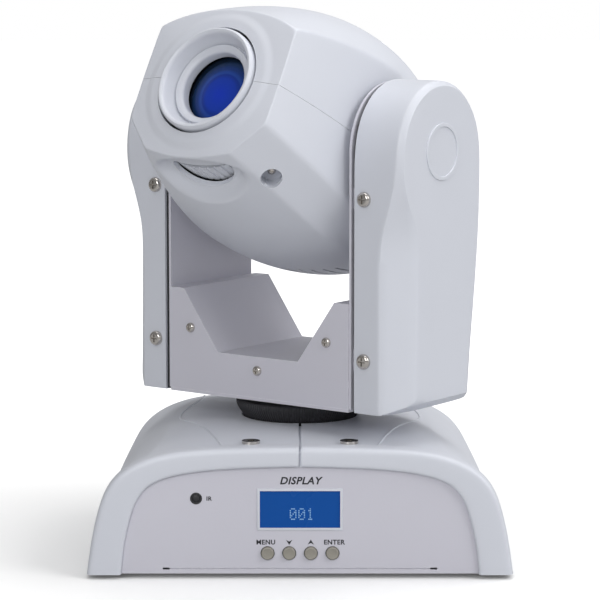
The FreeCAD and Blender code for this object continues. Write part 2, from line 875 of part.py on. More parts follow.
def make_yoke_screws():
    covers = []
    for side in (-1, 1):
        for z in cover_screw_heights:
            covers.append(screw((side * cover_screw_offset, -yoke_half, z), 3.6, 2.2, 9.0))
    save("cover_screws", in_yoke(group(covers)))
    front = [screw((x, -yoke_half, z), 2.4, 1.5, 5.0) for x, z in yoke_screw_places]
    save("yoke_screws", in_yoke(group(front)))


# ---- Tilt drive ----

def make_tilt_bearings():
    start, end = bearing_span()
    inner = trunnion_radius + tilt_race
    pitch = inner + ball_gap + tilt_ball_radius
    centre = Vector((start + end) / 2, 0, tilt_height)
    race_ring = tube(inner, trunnion_radius, (start + side_gap, 0, tilt_height), (end, 0, tilt_height))
    save("tilt_bearing_inner", in_yoke(group([race_ring, mirrored(race_ring)])))
    track = pitch + tilt_ball_radius + ball_gap
    outer = tube(tilt_bearing_radius(), track, (start, 0, tilt_height), (end, 0, tilt_height))
    pieces = [outer] + ball_ring(pitch, tilt_ball_radius, centre, x_axis, 12)
    save("tilt_bearing_outer", in_yoke(group(pieces + [mirrored(piece) for piece in pieces])))


def stand_up(shape):
    # Turns a drive drawn about Z and along +Y to run about X and down -Z.
    copy = shape.copy()
    copy.rotate(Vector(0, 0, 0), y_axis, 90)
    copy.rotate(Vector(0, 0, 0), x_axis, -90)
    copy.translate(Vector(tilt_pulley_start, 0, tilt_height))
    return copy


def make_tilt_drive():
    drop = tilt_height - tilt_motor_z
    rim = lip_thickness + belt_gap
    large = pulley(tilt_pulley_radius, trunnion_radius, (0, 0), 0, pulley_width)
    save("tilt_pulley", in_yoke(stand_up(large)))
    small = pulley(motor_pulley_radius, 0, (0, drop), 0, pulley_width)
    shaft_low = frame_half - tilt_pulley_start - shaft_inside
    shaft = rod(motor_shaft, (0, drop, shaft_low), (0, drop, pulley_width + 0.5))
    save("tilt_motor_pulley", in_yoke(stand_up(small.fuse(shaft).removeSplitter())))
    loop = belt(tilt_pulley_radius, motor_pulley_radius, drop, rim, pulley_width - rim)
    save("tilt_belt", in_yoke(stand_up(loop)))
    half = tilt_motor_side / 2
    low = (frame_half - tilt_motor_length, -half, tilt_motor_z - half)
    body = block(low, (frame_half, half, tilt_motor_z + half))
    corners = [edge for edge in body.Edges if edge.BoundBox.XLength > tilt_motor_length - 1]
    body = body.makeChamfer(2.5, corners)
    bore_start = (frame_half - shaft_inside - 0.5, 0, tilt_motor_z)
    bore = rod(motor_shaft + shaft_gap, bore_start, (frame_half + 1, 0, tilt_motor_z))
    save("tilt_motor", in_yoke(body.cut(bore)))


def make_trunnions():
    inner = frame_side
    right = rod(trunnion_radius, (inner, 0, 0), (tilt_pulley_start + pulley_width + 0.5, 0, 0))
    left = rod(trunnion_radius, (-inner, 0, 0), (-bearing_span()[1] - 1, 0, 0))
    collar_end = inner + collar_width
    collars = [rod(collar_radius, (side * inner, 0, 0), (side * collar_end, 0, 0)) for side in (1, -1)]
    save("trunnions", in_head(group([right.fuse(collars[0]), left.fuse(collars[1])])))


# ---- Head ----

def head_wire(station, inset):
    c, top, upper, lower, heel, bottom = station
    y = -c + (inset if c > 0 else -inset) * (1 if abs(c) > 70 else 0)
    top = top - inset
    bottom = bottom + inset
    up = (upper[0] - inset, upper[1] - 0.5 * inset)
    low = (lower[0] - inset, lower[1] + 0.4 * inset)
    toe = (heel[0] - 0.6 * inset, heel[1] + 0.9 * inset)
    edges = [
        arc((-up[0], y, up[1]), (0, y, top), (up[0], y, up[1])),
        line((up[0], y, up[1]), (low[0], y, low[1])),
        line((low[0], y, low[1]), (toe[0], y, toe[1])),
        arc((toe[0], y, toe[1]), (0, y, bottom), (-toe[0], y, toe[1])),
        line((-toe[0], y, toe[1]), (-low[0], y, low[1])),
        line((-low[0], y, low[1]), (-up[0], y, up[1])),
    ]
    return Part.Wire(edges)


def head_body(inset):
    return Part.makeLoft([head_wire(station, inset) for station in head_stations], True)


def lens_rod(radius, back, front):
    return rod(radius, (0, -back, -head_drop), (0, -front, -head_drop))


def head_screw_places():
    return [(side * head_screw_x, -head_screw_c) for side in (-1, 1)]


def head_shell():
    shell = head_body(0).cut(head_body(head_wall))
    shell = shell.cut(lens_rod(bezel_radius + bezel_gap, 60, 90))
    width, back, front = focus_slot
    shell = shell.cut(block((-width / 2, -front, -70), (width / 2, -back, -head_drop - 25)))
    for index in range(vent_slots):
        z = (index - (vent_slots - 1) / 2) * vent_pitch
        shell = shell.cut(block((-13, 70, z - 1), (13, 90, z + 1)))
    for side in (-1, 1):
        shell = shell.cut(rod(trunnion_radius + 0.5, (side * 40, 0, 0), (side * 60, 0, 0)))
    for x, y in head_screw_places():
        shell = shell.fuse(rod(head_screw_radius + 1.5, (x, y, -42), (x, y, -33)).common(head_body(0)))
        shell = shell.cut(rod(head_screw_radius, (x, y, -60), (x, y, -36)))
        shell = shell.cut(rod(1.6, (x, y, -40), (x, y, -20)))
    return shell


def make_head_shells():
    shell = head_shell()
    seam = -head_drop
    top = shell.common(block((-90, -120, seam + parting_gap / 2), (90, 120, 120)))
    bottom = shell.common(block((-90, -120, -120), (90, 120, seam - parting_gap / 2)))
    save("head_shell_top", in_head(top))
    save("head_shell_bottom", in_head(bottom))
    screws = []
    for x, y in head_screw_places():
        head = rod(head_screw_radius - 0.3, (x, y, -38), (x, y, -36))
        screws.append(head.fuse(rod(1.5, (x, y, -37), (x, y, -27))))
    save("head_screws", in_head(group(screws)))


def make_bezel():
    rim = bezel_rim
    front = bezel_front
    flange_front = head_stations[0][0] - head_wall - 0.2
    step_front = bezel_back + 3.5
    points = [
        (bezel_step, bezel_back), (bezel_flange_radius, bezel_back),
        (bezel_flange_radius, flange_front), (bezel_radius, flange_front), (bezel_radius, front - rim),
    ]
    inner = [
        (bezel_radius - rim * 0.3, front - rim * 0.3), (bezel_radius - rim, front),
        (bezel_cone[0], front - 0.6), (bezel_cone[1], step_front + 1.0),
        (bezel_cone[1], step_front), (bezel_step, step_front),
    ]
    corners = [Vector(r, -c, 0) for r, c in points + inner]
    face = Part.Face(Part.makePolygon(corners + corners[:1]))
    ring = face.revolve(Vector(0, 0, 0), y_axis, 360)
    ring.translate(Vector(0, 0, -head_drop))
    save("lens_bezel", in_head(ring))


def make_front_lens():
    rise = lens_front - lens_edge_front
    dome = (lens_radius ** 2 + rise ** 2) / (2 * rise)
    ball = Part.makeSphere(dome, Vector(0, -(lens_front - dome), -head_drop))
    cap = ball.common(lens_rod(lens_radius, lens_edge_front, lens_front + 5))
    edge = lens_rod(lens_radius, lens_edge_front - lens_edge, lens_edge_front)
    save("front_lens", in_head(cap.fuse(edge)))


def make_lens_cell():
    cell = lens_rod(cell_radius, barrel_back + 3, barrel_front)
    cell = cell.cut(lens_rod(lens_radius, lens_edge_front - lens_edge, 90))
    save("lens_cell", in_head(cell.cut(lens_rod(lens_radius - 2, 20, 90))))


def make_focus_ring():
    back, front = focus_span
    bore = cell_radius + barrel_wall + 2 * barrel_gap
    ring = lens_rod(focus_radius, back, front).cut(lens_rod(bore, back - 1, front + 1))
    grooves = []
    for index in range(focus_knurls):
        turn = 2 * math.pi * index / focus_knurls
        x = focus_radius * math.cos(turn)
        z = focus_radius * math.sin(turn) - head_drop
        grooves.append(rod(0.7, (x, -back + 1, z), (x, -front - 1, z)))
    save("focus_ring", in_head(ring.cut(Part.makeCompound(grooves))))


def make_head_frame():
    half = frame_side
    wall = frame_wall
    barrel = lens_rod(cell_radius + barrel_gap + barrel_wall, barrel_back, barrel_front)
    front_plate = block((-half + 2.5, -barrel_back - wall, -38), (half - 2.5, -barrel_back, 34))
    plates = [
        block((-half, -barrel_back - wall, -18), (-half + wall, 20, 18)),
        block((half - wall, -barrel_back - wall, -18), (half, 20, 18)),
        block((-half + wall, -6, -40), (half - wall, -4, 40)),
        block((-half + 5.5, 18, -38), (half - 5.5, 20, 38)),
        block((-half, 18, -18), (half, 20, 18)),
        block((-half, -6, -18), (half, -4, 18)),
        block((-half, -barrel_back - wall, -18), (half, -barrel_back, 18)),
    ]
    tabs = []
    for side in (-1, 1):
        x = side * head_screw_x
        tabs.append(block((x - 3, -head_screw_c - 3, -33), (x + 3, -barrel_back, -30)))
    frame = joined([barrel, front_plate] + plates + tabs)
    frame = frame.cut(lens_rod(cell_radius + barrel_gap, 40, 90))
    frame = frame.cut(lens_rod(8.5, 0, 40))
    frame = frame.common(head_body(head_wall + 0.6))
    for x, y in head_screw_places():
        frame = frame.cut(rod(1.55, (x, y, -40), (x, y, -20)))
    save("head_frame", in_head(frame))


def filter_wheel(centre_z, front, spoke):
    back = front - wheel_thickness
    disc = rod(wheel_radius, (0, -back, centre_z), (0, -front, centre_z))
    for index in range(wheel_holes):
        turn = 2 * math.pi * index / wheel_holes + spoke
        x = wheel_pitch * math.cos(turn)
        z = centre_z + wheel_pitch * math.sin(turn)
        disc = disc.cut(rod(wheel_hole, (x, -back + 1, z), (x, -front - 1, z)))
    shaft = rod(1.5, (0, -wheel_motor_span[1] + 8, centre_z), (0, -front - 1.5, centre_z))
    hub = rod(4.0, (0, -back + 1.2, centre_z), (0, -front - 1.0, centre_z))
    return joined([disc, shaft, hub])


def make_wheels():
    colour_z = -head_drop + wheel_pitch
    gobo_z = -head_drop - wheel_pitch
    save("colour_wheel", in_head(filter_wheel(colour_z, colour_wheel_front, -math.pi / 2)))
    save("gobo_wheel", in_head(filter_wheel(gobo_z, gobo_wheel_front, math.pi / 2)))
    motors = []
    for z in (colour_z, gobo_z):
        back, front = wheel_motor_span
        body = rod(wheel_motor_radius, (0, -back, z), (0, -front, z))
        motors.append(body.cut(rod(1.6, (0, -front + 8.5, z), (0, -front - 1, z))))
    save("wheel_motors", in_head(group(motors)))


def make_led_engine():
    tube_part = lens_rod(8.0, -14, 18)
    base = lens_rod(14.0, -18, -14)
    dome = Part.makeSphere(5.0, Vector(0, -18, -head_drop)).common(lens_rod(6, 18, 24))
    save("led_engine", in_head(joined([base, tube_part, dome])))


def make_heat_sink():
    base = block((-30, 20, -30), (30, 25, 24))
    fins = [block((-30 + index * 7.3, 25, -30), (-28.4 + index * 7.3, 50, 24)) for index in range(9)]
    save("heat_sink", in_head(joined([base] + fins)))


def make_fan():
    front = fan_back + fan_depth
    half = fan_side / 2
    case = block((-half, -front, -half), (half, -fan_back, half))
    case = case.cut(rod(fan_radius, (0, -front - 1, 0), (0, -fan_back + 1, 0)))
    struts = [block((-half + 1, -fan_back - 1.2, -1.2), (half - 1, -fan_back, 1.2)),
              block((-1.2, -fan_back - 1.2, -half + 1), (1.2, -fan_back, half - 1))]
    seat = rod(9.0, (0, -fan_back - 1.2, 0), (0, -fan_back, 0))
    save("fan_housing", in_head(joined([case, seat] + struts)))
    hub = rod(9.0, (0, -front + 1.0, 0), (0, -fan_back - 1.8, 0))
    blades = []
    for index in range(fan_blades):
        blade = block((7, -0.6, -0.6), (fan_radius - 0.8, 0.6, 5.4))
        blade.translate(Vector(0, 0, -2.4))
        blade.rotate(Vector(0, 0, 0), x_axis, 45)
        blade.rotate(Vector(0, 0, 0), y_axis, 360 / fan_blades * index)
        blade.translate(Vector(0, -front + fan_depth / 2 - 0.4, 0))
        blades.append(blade)
    save("fan_rotor", in_head(joined([hub] + blades)))


def main():
    os.makedirs("parts", exist_ok=True)
    make_base_shells()
    make_shell_screws()
    make_floor_plate()
    make_feet()
    make_front_panel()
    make_rear_panel()
    make_display()
    make_ir_receiver()
    make_control_board()
    make_buttons()
    make_boards()
    make_power_inlet()
    make_dmx_sockets()
    make_pan_bridge()
    make_pan_disc()
    make_pan_bearing()
    make_pan_motor()
    make_pan_pulleys()
    make_pan_hub()
    make_crossmember()
    make_yoke_floor()
    make_arm_covers()
    make_arm_plates()
    make_yoke_screws()
    make_tilt_bearings()
    make_tilt_drive()
    make_trunnions()
    make_head_shells()
    make_bezel()
    make_front_lens()
    make_lens_cell()
    make_focus_ring()
    make_head_frame()
    make_wheels()
    make_led_engine()
    make_heat_sink()
    make_fan()


main()
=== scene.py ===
import bpy
import bmesh
import json
import math
from mathutils import Matrix, Vector
from mathutils.bvhtree import BVHTree

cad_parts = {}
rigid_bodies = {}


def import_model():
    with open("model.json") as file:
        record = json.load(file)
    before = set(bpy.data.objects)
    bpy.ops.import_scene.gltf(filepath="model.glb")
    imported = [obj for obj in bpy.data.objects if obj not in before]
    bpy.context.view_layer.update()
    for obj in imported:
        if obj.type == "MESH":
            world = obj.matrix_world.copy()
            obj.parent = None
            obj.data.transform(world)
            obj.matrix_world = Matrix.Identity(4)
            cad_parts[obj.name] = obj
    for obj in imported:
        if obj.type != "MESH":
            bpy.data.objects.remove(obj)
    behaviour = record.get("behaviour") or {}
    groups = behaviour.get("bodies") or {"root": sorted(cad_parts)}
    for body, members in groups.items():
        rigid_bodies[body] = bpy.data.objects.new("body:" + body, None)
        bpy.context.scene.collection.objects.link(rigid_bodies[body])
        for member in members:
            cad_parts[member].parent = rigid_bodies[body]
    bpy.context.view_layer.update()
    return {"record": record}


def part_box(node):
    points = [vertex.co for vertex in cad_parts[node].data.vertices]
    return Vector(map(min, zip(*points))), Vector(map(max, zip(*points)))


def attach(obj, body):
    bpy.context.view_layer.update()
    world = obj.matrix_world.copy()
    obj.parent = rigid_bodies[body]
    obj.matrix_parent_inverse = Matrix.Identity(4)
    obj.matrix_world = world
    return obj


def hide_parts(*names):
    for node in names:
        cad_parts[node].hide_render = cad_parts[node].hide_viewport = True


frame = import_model()
print("frame loaded")

# Small moving head light in white plastic: base, panning yoke, tilting head.
# The head and yoke are drawn square to the axes and turned to their rest pose.

turn = {
    "pan": math.radians(-37),
    "tilt": math.radians(29),
    "tiltHeight": 0.1977,
}


def yokeMatrix():
    return Matrix.Rotation(turn["pan"], 4, "Z")


def headMatrix():
    lift = Matrix.Translation((0, 0, turn["tiltHeight"]))
    return yokeMatrix() @ lift @ Matrix.Rotation(-turn["tilt"], 4, "X")


# Node helpers: what goes into a socket is another node's output, or a plain number, colour or vector.

def feed(group, socket, value):
    if isinstance(value, (int, float, tuple, Vector)):
        socket.default_value = value
    else:
        group.links.new(value, socket)


def feedAll(group, node, **values):
    for label, value in values.items():
        feed(group, node.inputs[label.replace("_", " ")], value)
    return node


def addNode(group, kind, **values):
    return feedAll(group, group.nodes.new("ShaderNode" + kind), **values)


def mathNode(group, operation, *values, clamp=False):
    node = addNode(group, "Math")
    node.operation, node.use_clamp = operation, clamp
    for socket, value in zip(node.inputs, values):
        feed(group, socket, value)
    return node.outputs[0]


def vectorNode(group, operation, *values, **named):
    node = addNode(group, "VectorMath")
    node.operation = operation
    feedAll(group, node, **named)
    for socket, value in zip(node.inputs, values):
        feed(group, socket, value)
    return node.outputs["Value" if operation in ("LENGTH", "DOT_PRODUCT") else "Vector"]


def noiseNode(group, vector, scale, detail=3):
    return addNode(group, "TexNoise", Vector=vector, Scale=scale, Detail=detail).outputs["Fac"]


def bumpNode(group, height, strength, distance):
    return addNode(group, "Bump", Height=height, Strength=strength, Distance=distance).outputs["Normal"]


def rangeNode(group, value, low, high, source=(0, 1)):
    return addNode(group, "MapRange", Value=value, From_Min=source[0], From_Max=source[1],
                   To_Min=low, To_Max=high).outputs["Result"]


def mixNode(group, share, first, second):
    node = addNode(group, "Mix")
    node.data_type = "RGBA"
    return feedAll(group, node, Factor=share, A=first, B=second).outputs["Result"]


def coordsOf(group, kind="Object"):
    return addNode(group, "TexCoord").outputs[kind]


def cameraRay(group):
    return addNode(group, "LightPath").outputs["Is Camera Ray"]


def meshObject(name, bm):
    mesh = bpy.data.meshes.new(name)
    bm.to_mesh(mesh)
    bm.free()
    thing = bpy.data.objects.new(name, mesh)
    bpy.context.collection.objects.link(thing)
    return thing


# Camera, floor and lights.

studio = {
    "cameraPlace": (0, -1.3422, 0.30215),
    "cameraDip": math.radians(7.69),
    "lens": 166.07,
    "floorHalf": 6,
    "floorSeen": (0.88, 0.88, 0.88, 1),
    "floorBounce": (0.50, 0.50, 0.50, 1),  # how the floor lights the underside of the object
    "floorLift": (0.08, 0.66),  # near the object and far away, so the floor stays white
    "liftReach": (0.13, 0.55),
    "worldStrength": (0.24, 0.66),  # from the left and from the right
    # (name, place, what it points at, size, power)
    "lights": [
        ("leftBox", (-0.5, -1.5, 0.75), (0, 0, 0.14), (0.7, 0.7), 9),
        ("rightBox", (1.2, -0.8, 1.0), (0, 0, 0.12), (0.8, 0.9), 9.5),
        ("topBox", (0.25, 0.15, 1.45), (0, 0, 0.1), (1.2, 1.2), 11),
    ],
}


def makeCamera():
    data = bpy.data.cameras.new("camera")
    data.sensor_width = 36
    data.lens = studio["lens"]
    data.clip_end = 20
    camera = bpy.data.objects.new("camera", data)
    camera.location = studio["cameraPlace"]
    camera.rotation_euler = (math.radians(90) - studio["cameraDip"], 0, 0)
    bpy.context.collection.objects.link(camera)
    bpy.context.scene.camera = camera


def newMaterial(name):
    material = bpy.data.materials.new(name)
    material.use_nodes = True
    tree = material.node_tree
    return material, tree, tree.nodes["Principled BSDF"]


def makeFloor():
    bm = bmesh.new()
    bmesh.ops.create_grid(bm, x_segments=1, y_segments=1, size=studio["floorHalf"])
    floor = meshObject("floor", bm)
    material, tree, shader = newMaterial("studioFloor")
    seen = cameraRay(tree)
    reach = vectorNode(tree, "LENGTH", coordsOf(tree))
    lift = rangeNode(tree, reach, *studio["floorLift"], source=studio["liftReach"])
    feedAll(tree, shader, Roughness=0.8, Specular_IOR_Level=0.1, Emission_Color=(1, 1, 1, 1),
            Base_Color=mixNode(tree, seen, studio["floorBounce"], studio["floorSeen"]),
            Emission_Strength=mathNode(tree, "MULTIPLY", lift, seen))
    floor.data.materials.append(material)


def makeLights():
    for name, place, aim, size, power in studio["lights"]:
        data = bpy.data.lights.new(name, "AREA")
        data.shape = "RECTANGLE"
        data.size, data.size_y = size
        data.energy = power
        light = bpy.data.objects.new(name, data)
        light.location = place
        direction = Vector(aim) - Vector(place)
        light.rotation_euler = direction.to_track_quat("-Z", "Y").to_euler()
        bpy.context.collection.objects.link(light)


def makeWorld():
    # the backdrop looks white, and lights the object less
    world = bpy.data.worlds.new("studio")
    world.use_nodes = True
    tree = world.node_tree
    split = addNode(tree, "SeparateXYZ", Vector=coordsOf(tree, "Generated"))
    side = rangeNode(tree, split.outputs["X"], *studio["worldStrength"], source=(-1, 1))
    strength = rangeNode(tree, cameraRay(tree), side, 1)
    feedAll(tree, tree.nodes["Background"], Color=(1, 1, 1, 1), Strength=strength)
    bpy.context.scene.world = world
    bpy.context.scene.view_settings.view_transform = "Standard"


makeCamera()
makeFloor()
makeLights()
makeWorld()
print("camera and lights made")

# Shader groups that more than one finish uses.

groupLook = {
    "broadScale": 22,  # mottle a few centimetres across
    "glossSwing": 3,  # how much more gloss varies than colour
    "grainHeight": 0.0001,
    "wearAndHighlightPatches": 260,
    "dustPatches": 45,
    "brushHeight": 0.00006,
    "brushSwing": 0.35,
}


def newGroup(name, inputs, outputs):
    group = bpy.data.node_groups.new(name, "ShaderNodeTree")
    kinds = {"f": "NodeSocketFloat", "c": "NodeSocketColor", "v": "NodeSocketVector"}
    for label, kind, value in inputs:
        group.interface.new_socket(label, in_out="INPUT", socket_type=kinds[kind]).default_value = value
    for label, kind in outputs:
        group.interface.new_socket(label, in_out="OUTPUT", socket_type=kinds[kind])
    return group, group.nodes.new("NodeGroupInput").outputs, group.nodes.new("NodeGroupOutput")


def makeMouldGrain():
    # fine moulded texture: a tiny bump, a faint mottle of colour and gloss
    group, start, end = newGroup("mouldGrain", [
        ("Colour", "c", (0.8, 0.8, 0.8, 1)), ("Roughness", "f", 0.35), ("Grain Scale", "f", 1400),
        ("Grain Depth", "f", 0.1), ("Mottle", "f", 0.03),
    ], [("Colour", "c"), ("Roughness", "f"), ("Normal", "v")])
    place = coordsOf(group)
    fine = noiseNode(group, place, start["Grain Scale"])
    broad = noiseNode(group, place, groupLook["broadScale"], 4)
    amount = mathNode(group, "MULTIPLY", mathNode(group, "SUBTRACT", broad, 0.5), start["Mottle"])
    tone = vectorNode(group, "SCALE", start["Colour"], Scale=mathNode(group, "ADD", amount, 1))
    gloss = mathNode(group, "MULTIPLY_ADD", amount, groupLook["glossSwing"], start["Roughness"])
    relief = bumpNode(group, fine, start["Grain Depth"], groupLook["grainHeight"])
    feedAll(group, end, Colour=tone, Roughness=gloss, Normal=relief)
    return group


def makeEdgeWearAndHighlight():
    # broken bright line along the outer edges: partly wear where hands and tools rub, partly a painted
    # highlight on the ridges
    group, start, end = newGroup("edgeWearAndHighlight", [("Radius", "f", 0.0006), ("Amount", "f", 1.0)], [("Mask", "f")])
    rounded = addNode(group, "Bevel", Radius=start["Radius"])
    rounded.samples = 4
    flat = addNode(group, "NewGeometry").outputs["Normal"]
    facing = vectorNode(group, "DOT_PRODUCT", rounded.outputs["Normal"], flat)
    patches = noiseNode(group, coordsOf(group), groupLook["wearAndHighlightPatches"], 4)
    broken = mathNode(group, "MULTIPLY_ADD", patches, 3, -0.9, clamp=True)
    edge = mathNode(group, "MULTIPLY", mathNode(group, "SUBTRACT", 1, facing), broken)
    feedAll(group, end, Mask=mathNode(group, "MULTIPLY", edge, start["Amount"], clamp=True))
    return group


def makeSettledDust():
    # thin uneven dust on what faces up
    sockets = [("Amount", "f", 0.2), ("Scale", "f", groupLook["dustPatches"])]
    group, start, end = newGroup("settledDust", sockets, [("Mask", "f")])
    split = addNode(group, "SeparateXYZ", Vector=coordsOf(group, "Normal"))
    upward = mathNode(group, "MULTIPLY_ADD", split.outputs["Z"], 1.6, -0.6, clamp=True)
    patches = noiseNode(group, coordsOf(group), start["Scale"], 6)
    uneven = mathNode(group, "MULTIPLY_ADD", patches, 2.2, -0.6, clamp=True)
    fallen = mathNode(group, "MULTIPLY", upward, uneven)
    feedAll(group, end, Mask=mathNode(group, "MULTIPLY", fallen, start["Amount"], clamp=True))
    return group


def makeBrushing():
    # long scratches one way, for turned and rolled metal
    group, start, end = newGroup("brushing", [
        ("Scale", "f", 90), ("Stretch", "v", (1, 1, 30)), ("Depth", "f", 0.2), ("Roughness", "f", 0.3),
    ], [("Roughness", "f"), ("Normal", "v")])
    drawn = vectorNode(group, "MULTIPLY", coordsOf(group), start["Stretch"])
    lines = noiseNode(group, drawn, start["Scale"], 5)
    centred = mathNode(group, "SUBTRACT", lines, 0.5)
    gloss = mathNode(group, "MULTIPLY_ADD", centred, groupLook["brushSwing"], start["Roughness"])
    relief = bumpNode(group, lines, start["Depth"], groupLook["brushHeight"])
    feedAll(group, end, Roughness=gloss, Normal=relief)
    return group


mouldGrain = makeMouldGrain()
edgeWearAndHighlight = makeEdgeWearAndHighlight()
settledDust = makeSettledDust()
brushing = makeBrushing()


def placeGroup(tree, group, **values):
    node = addNode(tree, "Group")
    node.node_tree = group
    return feedAll(tree, node, **values).outputs


def grainMaterial(name, colour, roughness, scale=1400, depth=0.1, mottle=0.03, metallic=0.0,
                  wearAndHighlight=None, dust=None, brushed=None, specular=0.5):
    # the edge tint is (tint, radius, amount) and lightens edges, partly as wear and partly as a painted
    # highlight; dust is (tint, amount), brushed is (scale, stretch, depth)
    material, tree, shader = newMaterial(name)
    grain = placeGroup(tree, mouldGrain, Colour=(*colour, 1), Roughness=roughness, Grain_Scale=scale,
                       Grain_Depth=depth, Mottle=mottle)
    tone, gloss, relief = (grain[label] for label in ("Colour", "Roughness", "Normal"))
    if brushed:
        lines = placeGroup(tree, brushing, Scale=brushed[0], Stretch=brushed[1], Depth=brushed[2],
                           Roughness=roughness)
        gloss, relief = lines["Roughness"], lines["Normal"]
    if dust:
        fall = placeGroup(tree, settledDust, Amount=dust[1])["Mask"]
        tone = mixNode(tree, fall, tone, (*dust[0], 1))
        gloss = mathNode(tree, "MULTIPLY_ADD", fall, 0.4, gloss)
    # lighter edges: partly wear, partly a painted highlight
    if wearAndHighlight:
        rubbedAndLit = placeGroup(tree, edgeWearAndHighlight, Radius=wearAndHighlight[1], Amount=wearAndHighlight[2])["Mask"]
        tone = mixNode(tree, rubbedAndLit, tone, (*wearAndHighlight[0], 1))
        gloss = mathNode(tree, "MULTIPLY_ADD", rubbedAndLit, -0.12, gloss)
    feedAll(tree, shader, Base_Color=tone, Roughness=gloss, Normal=relief, Metallic=metallic,
            Specular_IOR_Level=specular)
    return material


lensCoatAndShade = {
    "centre": (0.0025, -0.07, -0.008),  # in the head's own frame; middle of the painted shade, set 2.5 mm to one side of and 3 mm below the lens's middle
    "radius": 0.0185,
    # royal blue in the middle, darkened to navy at the rim by painted shade, one faint inner ring; the two ends
    # come first
    "stops": [
        (0.0, (0.008, 0.036, 0.42)), (1.0, (0.008, 0.016, 0.035)), (0.42, (0.009, 0.040, 0.36)),
        (0.55, (0.008, 0.034, 0.25)), (0.60, (0.014, 0.056, 0.30)), (0.74, (0.010, 0.036, 0.17)),
        (0.88, (0.012, 0.034, 0.10)),
    ],
    "roughness": 0.16,
    "mottle": 0.12,
    "specular": 0.22,
}


def lensMaterial():
    # coated glass, coloured by the distance from a line along the light's axis through a set-off middle: blue
    # inside, painted shade towards the rim
    material, tree, shader = newMaterial("coatedLensPaintedShade")
    centre = headMatrix() @ Vector(lensCoatAndShade["centre"])
    axis = headMatrix().to_3x3() @ Vector((0, -1, 0))
    across = vectorNode(tree, "CROSS_PRODUCT", vectorNode(tree, "SUBTRACT", coordsOf(tree), centre), axis)
    reach = vectorNode(tree, "LENGTH", across)
    ramp = addNode(tree, "ValToRGB", Fac=mathNode(tree, "DIVIDE", reach, lensCoatAndShade["radius"], clamp=True))
    ramp.color_ramp.interpolation = "EASE"
    stops = lensCoatAndShade["stops"]
    for element, (place, colour) in zip(ramp.color_ramp.elements, stops):
        element.position, element.color = place, (*colour, 1)
    for place, colour in stops[2:]:
        ramp.color_ramp.elements.new(place).color = (*colour, 1)
    grain = placeGroup(tree, mouldGrain, Colour=ramp.outputs["Color"], Roughness=lensCoatAndShade["roughness"],
                       Grain_Scale=300, Grain_Depth=0.0, Mottle=lensCoatAndShade["mottle"])
    feedAll(tree, shader, Base_Color=grain["Colour"], Roughness=grain["Roughness"],
            Specular_IOR_Level=lensCoatAndShade["specular"])
    return material


def makeFinishes():
    # each: name, colour, roughness, grain's scale, depth and mottle
    dusty = (0.50, 0.48, 0.45)
    return {
        # the lighter edge tints below are partly wear and partly a painted highlight
        "white_plastic": grainMaterial(
            "whitePlastic", (0.60, 0.62, 0.68), 0.40, 1500, 0.14, 0.035,
            wearAndHighlight=((0.74, 0.76, 0.80), 0.0008, 2.5), dust=(dusty, 0.10)),
        "painted_sheet": grainMaterial(
            "paintedSheet", (0.56, 0.555, 0.62), 0.42, 800, 0.35, 0.04,
            wearAndHighlight=((0.75, 0.75, 0.78), 0.0005, 3.0), dust=(dusty, 0.14)),
        "bare_steel": grainMaterial(
            "bareSteel", (0.50, 0.50, 0.51), 0.36, 600, 0.1, 0.08, metallic=1,
            brushed=(60, (1, 1, 14), 0.35), dust=(dusty, 0.2)),
        "screw_nickel": grainMaterial(
            "screwNickel", (0.56, 0.53, 0.50), 0.15, 600, 0.05, 0.16, metallic=1,
            brushed=(700, (1, 1, 1), 0.25), wearAndHighlight=((0.9, 0.88, 0.86), 0.0002, 1.6)),
        "black_plastic": grainMaterial(
            "blackPlastic", (0.018, 0.018, 0.021), 0.48, 1500, 0.2, 0.1,
            wearAndHighlight=((0.10, 0.10, 0.11), 0.0004, 2.0), dust=((0.16, 0.155, 0.15), 0.3)),
        "button_grey": grainMaterial(
            "buttonGrey", (0.27, 0.255, 0.22), 0.44, 1800, 0.15, 0.06,
            wearAndHighlight=((0.42, 0.40, 0.36), 0.0003, 2.5)),
        "display_blue": grainMaterial(
            "displayBlue", (0.004, 0.072, 0.32), 0.28, 1200, 0.04, 0.08,
            specular=0.15),
        "circuit_board": grainMaterial(
            "circuitBoard", (0.015, 0.11, 0.045), 0.38, 900, 0.3, 0.35),
        "rubber": grainMaterial(
            "footRubber", (0.018, 0.018, 0.018), 0.72, 900, 0.5, 0.2,
            dust=((0.2, 0.19, 0.18), 0.4)),
        "alloy": grainMaterial(
            "machinedAlloy", (0.58, 0.58, 0.60), 0.3, metallic=1,
            brushed=(80, (1, 1, 20), 0.4)),
        "belt_rubber": grainMaterial(
            "beltRubber", (0.014, 0.014, 0.014), 0.62, 1200, 0.4, 0.25),
        "lens_glass": lensMaterial(),
        "motor_black": grainMaterial(
            "motorBlack", (0.02, 0.02, 0.022), 0.4, 700, 0.3, 0.15,
            wearAndHighlight=((0.2, 0.2, 0.2), 0.0004, 2.0)),
        "wheel_steel": grainMaterial(
            "wheelSteel", (0.30, 0.30, 0.31), 0.33, metallic=1,
            brushed=(120, (1, 1, 1), 0.3)),
    }


finishes = makeFinishes()


def dressNodes():
    for part in frame["record"]["subparts"]:
        thing, finish = bpy.data.objects[part["node"]], finishes[part["material_slot"]]
        if not thing.material_slots:
            thing.data.materials.append(finish)
        for slot in thing.material_slots:
            slot.material = finish


dressNodes()
print("nodes dressed")

# Helpers for pieces: all are drawn in millimetres and placed by a matrix that also scales.

millimetres = Matrix.Scale(0.001, 4)
basePlace = millimetres
yokePlace = yokeMatrix() @ millimetres
headPlace = headMatrix() @ millimetres


